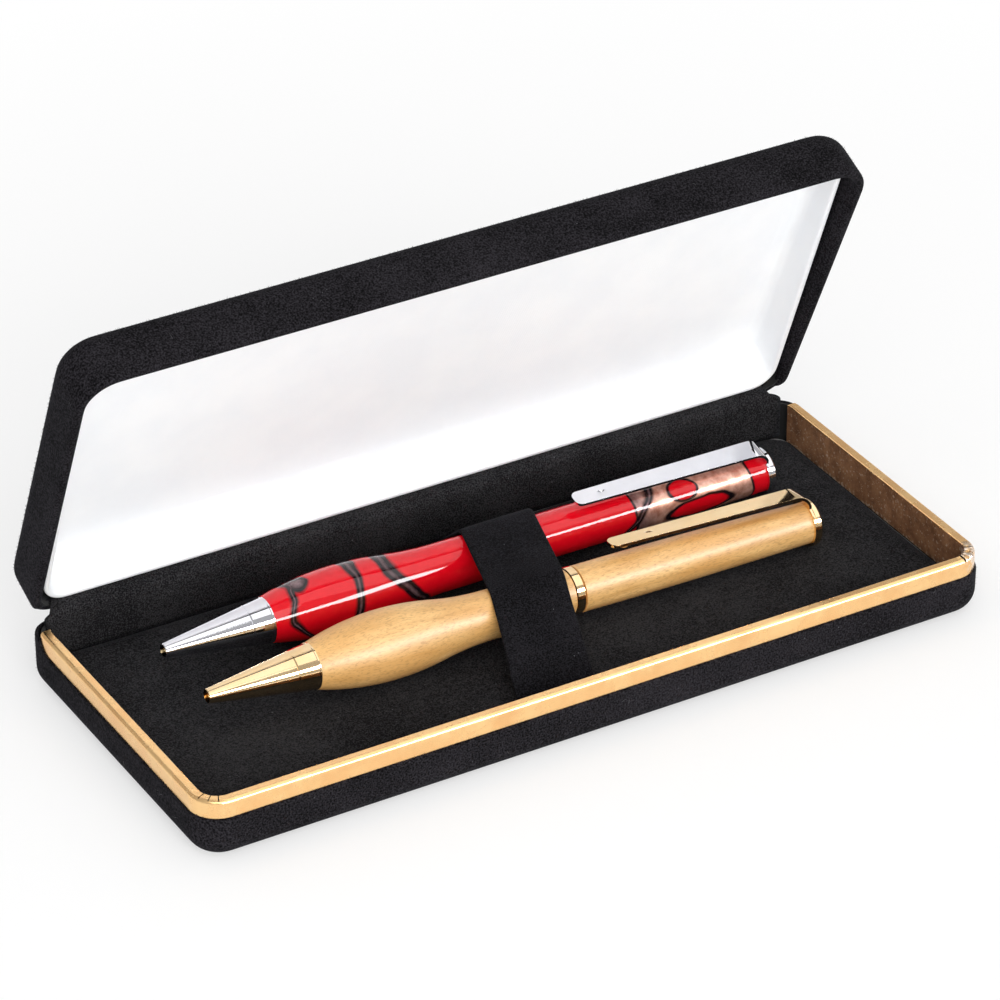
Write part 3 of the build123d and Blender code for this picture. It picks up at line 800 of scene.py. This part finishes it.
def base_top(x, y):
    """Height of the velvet's upper edge: under the rim, and higher behind its slanted ends."""
    return mix(under_rim, back_top, smoothstep(rim_high.y - rim_slant, rim_high.y + 0.2, y))


def wall_level(share):
    """Height that share of the way up the base's wall."""
    return lambda x, y: mix(base_edge, base_top(x, y), share)


def under_top(gap):
    """Height that far below the velvet's upper edge."""
    return lambda x, y: base_top(x, y) - gap


def base_rows():
    """Rows of (inset, height) of the base's velvet, from the middle of its underside round and back."""
    rows = [(base_edge + 1.5, 0.0), (base_edge, 0.0)]
    rows += rounding(base_edge, 0.0, 0.0, base_edge, 8)
    rows += [(0.0, wall_level(share)) for share in (0.0, 0.25, 0.5, 0.75)]
    rows += [(0.0, under_top(0.45)), (0.06, under_top(0.2)), (0.25, under_top(0.03)), (0.5, under_top(0.0))]
    rows += [(velvet_thick, under_top(0.1)), (velvet_thick, under_top(0.6)), (velvet_thick, base_edge)]
    rows += rounding(velvet_thick, base_edge, base_edge, velvet_thick, 5, rising=False)
    rows += [(base_edge, velvet_thick)]
    return rows


base_velvet = skin_from_rows("base_velvet", base_rows(), base_outline, as_drawn)
cover(base_velvet, outer_velvet, "base_cover")

# %% [markdown]
# ## Velvet over the lid
# The same skin in the lid is drawn closed and turned open. It covers the shell's top and
# sides, rolls round the mouth and turns in behind the white lining. The roll at the mouth is
# round and a little fat, which makes the soft black border round the satin.

# %% Lid velvet
lid_high_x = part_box("lid_cover")[1].x / MM
lid_front_step = 0.8
lid_gap = 0.4
lid_height = 12.5
lid_bottom = rim_high.z + lid_gap
lid_top = lid_bottom + lid_height
lid_depth = 2 * base_outline.half_y - lid_front_step
lid_corner = 8.0
lid_back_corner = 5.5
lid_outline = Outline(lid_high_x, lid_depth / 2, lid_corner, lid_back_corner, lid_front_step / 2)
lid_edge = 4.5
shell_thick = 0.5
mouth_width = 2 * velvet_thick + shell_thick
hinge_space = 1.0
flap_front = 33.83
lining_middle = 16.6
lining_rise = 3.6
satin_inset = 3.92


def lid_mouth(x, y):
    """Height of the mouth's edge on the closed lid, higher over the hinge."""
    return lid_bottom + hinge_space * smoothstep(flap_front - 0.3, flap_front + 0.5, y)


def lining_edge(x, y):
    """Height of the satin's edge, which stands further in at the front than at the hinge."""
    return lining_middle - lining_rise * (y - lid_front_step / 2) / lid_depth


def above_mouth(gap):
    """Height that far inside the mouth's edge."""
    return lambda x, y: lid_mouth(x, y) + gap


def hem_level(gap):
    """Height of the turned-in velvet's end, less gap; it is hidden behind the satin."""
    def level(x, y):
        hem = lining_edge(x, y) + 1.6
        hidden = mix(hem, lid_mouth(x, y) + 1.2, smoothstep(30.0, flap_front, y))
        return hidden - gap
    return level


def lid_rows():
    """Rows of (inset, height) of the lid's velvet, from its inner side round the mouth to its top."""
    inner_top = lid_top - velvet_thick
    wall_top = lid_top - lid_edge
    rows = [(lid_edge, inner_top)]
    rows += rounding(lid_edge, velvet_thick, inner_top, wall_top, 5)
    rows += [(velvet_thick, wall_top), (velvet_thick, above_mouth(velvet_thick + 0.02))]
    rows += [(mouth_width - velvet_thick, above_mouth(velvet_thick + 0.02))]
    rows += [(mouth_width - velvet_thick + 0.05, hem_level(0.0)), (mouth_width, hem_level(0.05))]
    rows += [(mouth_width + 0.25, hem_level(0.5)), (mouth_width + 0.3, above_mouth(1.6))]
    rows += [(mouth_width + 0.12, above_mouth(0.8)), (mouth_width - 0.15, above_mouth(0.3))]
    rows += [(mouth_width - 0.55, above_mouth(0.06)), (mouth_width / 2, above_mouth(0.0))]
    rows += [(0.4, above_mouth(0.08)), (0.12, above_mouth(0.35)), (0.0, above_mouth(0.85))]
    rows += [(0.0, above_mouth(2.5)), (0.0, 17.5), (0.0, 19.5), (0.0, wall_top)]
    rows += rounding(0.0, lid_edge, wall_top, lid_top, 8, rising=False)
    rows += [(lid_edge, lid_top), (lid_edge + 1.5, lid_top)]
    return rows


lid_velvet = skin_from_rows("lid_velvet", lid_rows(), lid_outline, opened)
cover(lid_velvet, outer_velvet, "lid_cover")

# %% [markdown]
# ## The satin lining
# The satin is stretched over a card tray and pressed into the lid. Its panel is nearly flat,
# with faint diagonal pulls. Where the panel meets the end walls the cloth stands in soft folds.

# %% Satin lining
lid_sheet = velvet_thick + shell_thick
satin_thick = 0.6
lining_thick = satin_thick + 0.5
satin_panel = lid_top - lid_sheet - lining_thick
card_cove = 3.0
satin_cove = 1.9
satin_edge = satin_inset + satin_cove
card_outer_inset = 2.82
card_inner_inset = satin_inset - satin_thick
folds = [
    ((73.5, 26.5), (79.5, 31.5), 0.9, 0.45), ((-73.5, 26.0), (-79.0, 31.0), 0.9, 0.4),
    ((74.0, -30.0), (78.0, 12.0), 1.4, 0.16), ((-60.0, 28.5), (60.0, 29.5), 1.6, 0.12),
    ((-78.0, -24.0), (-66.0, -31.0), 2.4, 0.3),
]


def fold(x, y, start, end, width, depth):
    """Depth of one soft fold of the cloth along a line, fading towards its ends."""
    first = Vector(start)
    along = Vector(end) - first
    from_start = Vector((x, y)) - first
    share = from_start.dot(along) / along.length_squared
    if not -0.15 < share < 1.15:
        return 0.0
    away = (from_start - along * share).length
    fade = smoothstep(-0.15, 0.15, share) * (1 - smoothstep(0.85, 1.15, share))
    return depth * fade * max(0.0, 1 - (away / width) ** 2) ** 2


def satin_level(x, y):
    """Height of the satin's panel on the closed lid, with its pulls and folds."""
    near_end = smoothstep(70, 80, abs(x))
    pull = 0.1 * ripple((x + y, (x - y) * 0.25, 0), 9.0, 3.0) * (0.35 + near_end)
    sag = 0.12 * ripple((x, y, 0), 28.0, 5.0)
    pressed = sum(fold(x, y, *each) for each in folds)
    return satin_panel - 0.2 + pull + sag + pressed


def off_edge(gap):
    """Height that far above the lining's lower edge on the closed lid."""
    return lambda x, y: lining_edge(x, y) + gap


def satin_rows():
    """Rows of the lining, from its panel's middle to the edge, round the card and back inside."""
    cove_level = satin_panel - satin_cove
    rows = [(satin_edge + 2.4, satin_level), (satin_edge + 0.9, satin_level), (satin_edge, satin_panel)]
    rows += rounding(satin_edge, satin_inset, satin_panel, cove_level, 6)
    for share in (0.0, 0.33, 0.66):
        rows.append((satin_inset, lambda x, y, share=share: mix(cove_level, lining_edge(x, y) + 0.5, share)))
    rows += [(satin_inset, off_edge(0.3)), (satin_inset - 0.08, off_edge(-0.05))]
    rows += [(satin_inset - 0.3, off_edge(-0.28)), (card_outer_inset + 0.2, off_edge(-0.33))]
    rows += [(card_outer_inset - 0.1, off_edge(-0.1))]
    rows += [(card_outer_inset - 0.16, off_edge(0.3)), (card_outer_inset - 0.16, off_edge(1.2))]
    rows += [(card_outer_inset - 0.02, off_edge(1.2)), (card_outer_inset - 0.02, off_edge(-0.02))]
    rows += [(card_inner_inset + 0.02, off_edge(-0.02)), (card_inner_inset + 0.02, off_edge(1.0))]
    card_top = satin_panel + satin_thick
    card_level = card_top - card_cove
    rows += [(card_inner_inset, card_level)]
    rows += rounding(card_inner_inset, card_inner_inset + card_cove, card_level, card_top, 4, rising=False)
    rows += [(satin_edge + 2.4, card_top)]
    return rows


satin_outline = lid_outline._replace(back_corner=lid_corner)
lid_satin = skin_from_rows("lid_satin", satin_rows(), satin_outline, opened)
cover(lid_satin, satin_finish, "lid_lining")

# %% [markdown]
# ## The pad
# The pad is a card with thin foam under velvet, dropped into the tray. It crowns a little and
# draws in at its edges. A short cloth simulation with a little pressure gives it the slight
# unevenness of stuffed cloth, and a cap keeps it clear of the pens.

# %% Pad velvet
pad_low, pad_high = box_mm("insert_cover")
pad_corner = 4.1
pad_middle_y = (pad_high.y + pad_low.y) / 2
pad_outline = Outline(pad_high.x, (pad_high.y - pad_low.y) / 2, pad_corner, pad_corner, pad_middle_y)
pad_crown = 1.2


def pad_rows():
    """Rows of the pad's velvet: up its side, over its crown, and back under itself."""
    low = pad_low.z
    side_top = pad_high.z - pad_crown
    rows = [(velvet_thick, low), (0.0, low), (0.0, mix(low, side_top, 0.5)), (0.0, side_top)]
    rows += rounding(0.0, pad_crown, side_top, pad_high.z, 5, rising=False)
    rows += [(pad_crown, pad_high.z), (pad_crown + 1.5, pad_high.z)]
    return rows


# %% Settling the pad
SIM_SCALE = 20.0
pad_voxel = 1.5
pad_pressure = 6.0
pad_hold = 0.8
pad_rise = 0.12
pad_sink = 0.45


def plain_mesh(piece):
    """The piece's mesh with its modifiers worked in."""
    return bpy.data.meshes.new_from_object(piece.evaluated_get(bpy.context.evaluated_depsgraph_get()))


def remeshed(piece, voxel):
    """The piece's form in even small faces, enlarged for the simulation."""
    even = piece.modifiers.new("even", "REMESH")
    even.mode = "VOXEL"
    even.voxel_size = voxel
    data = plain_mesh(piece)
    data.transform(Matrix.Scale(SIM_SCALE, 4))
    return link_object("pad_cloth", data)


def puff(cloth, pressure, pinned_below):
    """Runs the cloth with a little air in it; what lies below a height is held."""
    held = cloth.vertex_groups.new(name="held")
    held.add([v.index for v in cloth.data.vertices if v.co.z < pinned_below], 1.0, "REPLACE")
    settings = cloth.modifiers.new("cloth", "CLOTH").settings
    settings.mass = 0.1
    settings.use_pressure = True
    settings.uniform_pressure_force = pressure
    settings.vertex_group_mass = "held"
    settings.effector_weights.gravity = 0.0
    settings.tension_stiffness = 5.0
    settings.bending_stiffness = 0.2
    for moment in range(1, 21):
        bpy.context.scene.frame_set(moment)
    settled = plain_mesh(cloth)
    bpy.context.scene.frame_set(1)
    return settled


def settle_pad(piece):
    """The pad after a short simulation, its moves capped so that it never reaches the pens."""
    cloth = remeshed(piece, pad_voxel * MM)
    before = [vertex.co.copy() for vertex in cloth.data.vertices]
    settled = puff(cloth, pad_pressure, (pad_low.z + pad_hold) * MM * SIM_SCALE)
    for vertex, start in zip(settled.vertices, before):
        at = start / SIM_SCALE / MM
        rise = (vertex.co.z - start.z) / SIM_SCALE / MM
        top = smoothstep(pad_high.z - 1.6, pad_high.z - 0.2, at.z)
        wave = 0.22 * ripple((at.x, at.y, 0), 24.0, 6.0) + 0.06 * ripple((at.x, at.y, 0), 6.0, 7.0)
        at.z += top * min(max(rise * 0.5 + wave - 0.1, -pad_sink), pad_rise)
        vertex.co = at * MM
    bpy.data.objects.remove(cloth)
    bpy.data.objects.remove(piece)
    return link_cloth("pad_velvet", settled)


pad_velvet = settle_pad(skin_from_rows("pad_form", pad_rows(), pad_outline, as_drawn, levels=0))
cover(pad_velvet, pad_finish, "insert_cover")

# %% [markdown]
# ## The strap
# The strap is one band of cloth, pulled down through two slots in the pad. Seen from the side it
# is a taut line over both pens. So its path is the upper hull of two circles and two end points,
# and the band lies across it on the skew.

# %% Strap
strap_width = 16.2
strap_taut_narrowing = 0.8
strap_skew = radians(16.0)
strap_middle = Vector((1.1, -0.1))
strap_thick = 0.75
strap_gap = 0.45
strap_least_radius = 4.95
strap_step = 0.8
slot_front_y = -31.0
slot_back_y = 31.43


def pen_centre(pen):
    """Middle (y, z) of a pen and its radius under the strap, measured on its band's box."""
    low, high = box_mm(f"{pen}_pen_centre_band")
    return (low.y + high.y) / 2, (low.z + high.z) / 2, (high.z - low.z) / 2


def upper_hull(points):
    """The taut line over points, from the lowest y to the highest."""
    hull = []
    for point in sorted(points):
        while len(hull) > 1:
            (ay, az), (by, bz) = hull[-2], hull[-1]
            if (by - ay) * (point[1] - az) - (bz - az) * (point[0] - ay) < 0:
                break
            hull.pop()
        hull.append(point)
    return hull


def strap_line():
    """The strap's inner line over the pens, as (y, z) points about a step apart."""
    points = [(slot_front_y + 0.4, pad_high.z - 0.2), (slot_back_y - 0.4, pad_high.z - 0.2)]
    for pen in ("red", "wood"):
        y, z, radius = pen_centre(pen)
        reach = max(radius, strap_least_radius) + strap_gap
        points += [(y + reach * cos(pi * step / 60), z + reach * sin(pi * step / 60)) for step in range(61)]
    hull = upper_hull(points)
    line = [hull[0]]
    for (y, z), (next_y, next_z) in zip(hull, hull[1:]):
        steps = max(1, round(Vector((next_y - y, next_z - z)).length / strap_step))
        line += [(mix(y, next_y, s / steps), mix(z, next_z, s / steps)) for s in range(1, steps + 1)]
    return line


def make_strap():
    """The band over the pens, as a closed cloth with rounded selvedges."""
    line = strap_line()
    ends = [(line[0][0], pad_low.z - 0.4)] + line + [(line[-1][0], pad_low.z - 0.4)]
    across = 20
    points = []
    for index, (y, z) in enumerate(ends):
        before = Vector(ends[max(index - 1, 0)])
        after = Vector(ends[min(index + 1, len(ends) - 1)])
        run = (after - before).normalized()
        normal = Vector((-run.y, run.x))
        half = (strap_width - strap_taut_narrowing * smoothstep(pad_high.z, pad_high.z + 9, z)) / 2
        section = [((2 * step / across - 1) * half, strap_thick) for step in range(across + 1)]
        section.append((half + 0.15, strap_thick / 2))
        section += [((1 - 2 * step / across) * half, 0.0) for step in range(across + 1)]
        section.append((-half - 0.15, strap_thick / 2))
        for sideways, lift in section:
            x = strap_middle.x + (y - strap_middle.y) * tan(strap_skew) + sideways / cos(strap_skew)
            wave = 0.08 * ripple((x, y, z), 7.0, 2.0)
            at = Vector((y, z)) + normal * (lift + wave)
            points.append(Vector((x, at.x, at.y)) * MM)
    count = 2 * (across + 1) + 2
    rings = [points[first:first + count] for first in range(0, len(points), count)]
    return loft_skin("pen_strap", rings)


pen_strap = make_strap()
cover(pen_strap, strap_finish, "strap")

# %% [markdown]
# ## The velvet over the hinge
# A strip of velvet joins pad and lining and hides the hinge. It is drawn with the lid open:
# its lower part runs down by the base, its upper part lies along the lid, and what lies
# round the hinge turns between them.

# %% Hinge velvet
flap_inner = 1.32
flap_outer = flap_inner + velvet_thick
flap_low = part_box("hinge_flap")[0].z / MM
flap_half = 83.2
flap_lid_half = 79.6
flap_tail = 4.2


def flap_line(radius):
    """Points (y, z) up the strip at that distance from the hinge, and each one's share of the way."""
    points = [(hinge_y - radius, mix(flap_low, hinge_z, step / 8), 0.0) for step in range(8)]
    for step in range(11):
        angle = open_angle * step / 10
        points.append((hinge_y - radius * cos(angle), hinge_z + radius * sin(angle), step / 10))
    up_y = sin(open_angle)
    up_z = cos(open_angle)
    last_y, last_z, unused = points[-1]
    points += [(last_y + up_y * flap_tail * s / 5, last_z + up_z * flap_tail * s / 5, 1.0) for s in range(1, 6)]
    return points


def make_hinge_velvet():
    """The strip as a closed cloth, a little narrower at the lid."""
    across = 80
    outer = flap_line(flap_outer)
    inner = flap_line(flap_inner)
    rings = []
    for step in range(across + 1):
        share = 2 * step / across - 1
        points = []
        for y, z, way in outer:
            x = share * mix(flap_half, flap_lid_half, way * way)
            points.append(Vector((x, y - 0.05 * ripple((x, y, z), 9.0, 4.0), z)) * MM)
        for y, z, way in reversed(inner):
            points.append(Vector((share * mix(flap_half, flap_lid_half, way * way), y, z)) * MM)
        rings.append(points)
    return loft_skin("hinge_velvet", rings, levels=0)


hinge_velvet = make_hinge_velvet()
cover(hinge_velvet, pad_finish, "hinge_flap")

# %% [markdown]
# ## Nap and lint
# Velvet ends in standing fibres. They break up its outline against white, and stray lint catches
# the light. Both come from one tree: it scatters points over a cloth, stands a thin tapering
# fibre on each, tilts it a little and makes all of them real.

# %% A tree that grows fibres on a cloth
def make_fibre_tree():
    """Nodes that replace a cloth by fibres standing on the side that faces away from a centre."""
    tree = bpy.data.node_groups.new("fibres_on_cloth", "GeometryNodeTree")
    inputs = {"Cloth": "Geometry", "Per Square Metre": "Float", "Length": "Float", "Width": "Float",
              "Tilt": "Float", "Centre": "Vector", "Bare Way": "Vector", "Seed": "Int", "Finish": "Material"}
    for name, kind in inputs.items():
        tree.interface.new_socket(name, in_out="INPUT", socket_type="NodeSocket" + kind)
    tree.interface.new_socket("Fibres", in_out="OUTPUT", socket_type="NodeSocketGeometry")
    given = fields_of(tree.nodes.new("NodeGroupInput"))
    seed = {"Seed": given["Seed"]}
    position, normal = (field(tree, "GeometryNodeInput" + kind) for kind in ("Position", "Normal"))
    facing = vector_sum("DOT_PRODUCT", vector_sum("SUBTRACT", position, given["Centre"]), normal)
    toward = vector_sum("DOT_PRODUCT", normal, given["Bare Way"])
    outside = field(tree, "FunctionNodeCompare", {0: facing, 1: 0.0}, operation="GREATER_THAN")
    free = field(tree, "FunctionNodeCompare", {0: toward, 1: 0.15}, operation="LESS_THAN")
    chosen = field(tree, "FunctionNodeBooleanMath", {0: outside, 1: free}, operation="AND")
    scatter = put(tree, "GeometryNodeDistributePointsOnFaces", {
        "Mesh": given["Cloth"], "Selection": chosen, "Density": given["Per Square Metre"], **seed}).outputs
    fibre = field(tree, "GeometryNodeMeshCone", {
        "Vertices": 3, "Radius Top": 0.0, "Radius Bottom": given["Width"], "Depth": given["Length"],
    }, fill_type="NONE")
    leans = ((given["Tilt"] * -1.0, 0.0), (given["Tilt"], 2 * pi))
    low, high = (field(tree, "CombineXYZ", {"X": lean, "Y": lean, "Z": turn}) for lean, turn in leans)
    random = field(tree, "FunctionNodeRandomValue", {0: low, 1: high, **seed}, data_type="FLOAT_VECTOR")
    turned = field(tree, "FunctionNodeEulerToRotation", {0: random})
    both = {0: scatter["Rotation"], 1: turned}
    stand = field(tree, "FunctionNodeRotateRotation", both, rotation_space="LOCAL")
    size = field(tree, "FunctionNodeRandomValue", {2: 0.5, 3: 1.4, **seed}, 1, data_type="FLOAT")
    grown = field(tree, "GeometryNodeInstanceOnPoints", {
        "Points": scatter["Points"], "Instance": fibre, "Rotation": stand, "Scale": size})
    real = field(tree, "GeometryNodeRealizeInstances", {0: grown})
    finished = field(tree, "GeometryNodeSetMaterial", {"Geometry": real, "Material": given["Finish"]})
    dress(tree.nodes.new("NodeGroupOutput"), Fibres=finished)
    return tree


fibre_tree = make_fibre_tree()
print("the fibre tree takes", ", ".join(socket.name for socket in fibre_tree.interface.items_tree))


def grow(name, cloth, **values):
    """A mesh of fibres grown on a cloth; values fill the tree's inputs by name."""
    soil = cloth.copy()
    bpy.context.scene.collection.objects.link(soil)
    fibres = soil.modifiers.new("fibres", "NODES")
    fibres.node_group = fibre_tree
    for socket in fibre_tree.interface.items_tree:
        key = socket.name.replace(" ", "_").lower()
        if key in values:
            fibres[socket.identifier] = values[key]
    grown = plain_mesh(soil)
    bpy.data.objects.remove(soil)
    grown.name = name
    print(name, "has", len(grown.polygons), "faces")
    return link_object(name, grown)


# %% Fibres on the base, the lid and the pad
Growth = namedtuple("Growth", "cloth body centre bare_way")
growths = {
    "base": Growth(base_velvet, "base", (0.0, 0.0, 9 * MM), (0.0, 0.0, -1.0)),
    "lid": Growth(lid_velvet, "lid", tuple(opened(0, 0, 17.0) * MM),
                  tuple((opened(0, 0, 0) - opened(0, 0, 1)).normalized())),
    "pad": Growth(pad_velvet, "base", (0.0, 0.0, -1.0), (0.0, 0.0, 0.0)),
}
kinds = {
    "nap": {"per_square_metre": 1.5e6, "length": 0.32 * MM, "width": 0.03 * MM, "tilt": 0.7, "seed": 3,
            "finish": nap_finish},
    "lint": {"per_square_metre": 11000.0, "length": 0.9 * MM, "width": 0.035 * MM, "tilt": 1.4, "seed": 8,
             "finish": lint_finish},
}
grown_pieces = []
for place, growth in growths.items():
    for kind, values in kinds.items():
        fibres = grow(f"{place}_{kind}", growth.cloth, centre=growth.centre, bare_way=growth.bare_way, **values)
        grown_pieces.append((fibres, growth.body))

# %% [markdown]
# ## Bodies and soft goods
# Each cloth and its fibres say which body they move with; the strip over the hinge keeps its place.

# %% What each piece rides on
for piece, body in [(base_velvet, "base"), (pad_velvet, "base"), (pen_strap, "base"),
                    (lid_velvet, "lid"), (lid_satin, "lid"), *grown_pieces]:
    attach(piece, body)
arc_start = (0, (hinge_y - flap_outer) * MM, hinge_z * MM)
arc_end = (0, (hinge_y - flap_outer * cos(open_angle)) * MM, (hinge_z + flap_outer * sin(open_angle)) * MM)
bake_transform(hinge_velvet)

# %% [markdown]
# ## Floor and light
# The object stands on white. A big soft lamp from the front left and the white room light it
# at a plain level. A long lamp that only shows in reflections draws the streak on the barrels.

# %% Floor
floor_data = bpy.data.meshes.new("floor")
floor_data.from_pydata([(-3, -3, 0), (3, -3, 0), (3, 3, 0), (-3, 3, 0)], [], [(0, 1, 2, 3)])
floor = link_object("floor", floor_data)
floor_material, tree, shader = new_material(
    "floor_white", Roughness=1.0, Base_Color=(0.97, 0.97, 0.97, 1), Specular_IOR_Level=0.0)
glow = field(tree, "Emission", {"Color": (1, 1, 1, 1), "Strength": 1.0})
reach = vector_sum("LENGTH", object_coordinates(tree))
share = reach.scaled(0.1, 0.3, 0.52, 1.0) * field(tree, "LightPath", output="Is Camera Ray")
mixed = field(tree, "MixShader", {0: share, 1: shader.outputs["BSDF"], 2: glow})
dress(tree.nodes["Material Output"], Surface=mixed)
floor.data.materials.append(floor_material)
print("the floor is white where the camera sees it")

# %% World and lamps
sky_light = 0.68
sky_mirrored = 0.5
world = bpy.data.worlds.new("white_room")
bpy.context.scene.world = world
world.use_nodes = True
path = put(world.node_tree, "LightPath").outputs
seen = Field(path["Is Camera Ray"]) * (1 - sky_light)
mirrored = Field(path["Is Glossy Ray"]) * (sky_mirrored - sky_light)
dress(world.node_tree.nodes["Background"], Color=(1, 1, 1, 1), Strength=seen + sky_light + mirrored)


def area_lamp(name, direction, distance, size_x, size_y, radiance, lights=True, mirrored=True):
    """A soft lamp that faces the middle of the box from a direction."""
    data = bpy.data.lights.new(name, "AREA")
    data.shape = "RECTANGLE"
    data.size = size_x
    data.size_y = size_y
    data.energy = radiance * pi * size_x * size_y
    lamp = link_object(name, data)
    toward = Vector(direction).normalized()
    turn = toward.to_track_quat("Z", "Y").to_matrix().to_4x4()
    lamp.matrix_world = Matrix.Translation(toward * distance) @ turn
    lamp.visible_camera = False
    lamp.visible_diffuse = lights
    lamp.visible_glossy = mirrored


area_lamp("key_lamp", (-0.35, -0.75, 0.75), 2.0, 1.6, 1.2, 1.9)
area_lamp("fill_lamp", (-0.18, -1.0, 0.35), 2.0, 1.8, 1.0, 4.3, mirrored=False)
area_lamp("top_lamp", (0.45, -0.05, 0.85), 1.2, 1.6, 1.0, 0.95, lights=False)
area_lamp("streak_lamp", (0.427, -0.821, 0.378), 1.6, 2.4, 0.34, 20.0, lights=False)
bpy.context.scene.view_settings.view_transform = "Standard"
print("lamps:", ", ".join(lamp.name for lamp in bpy.data.lights))
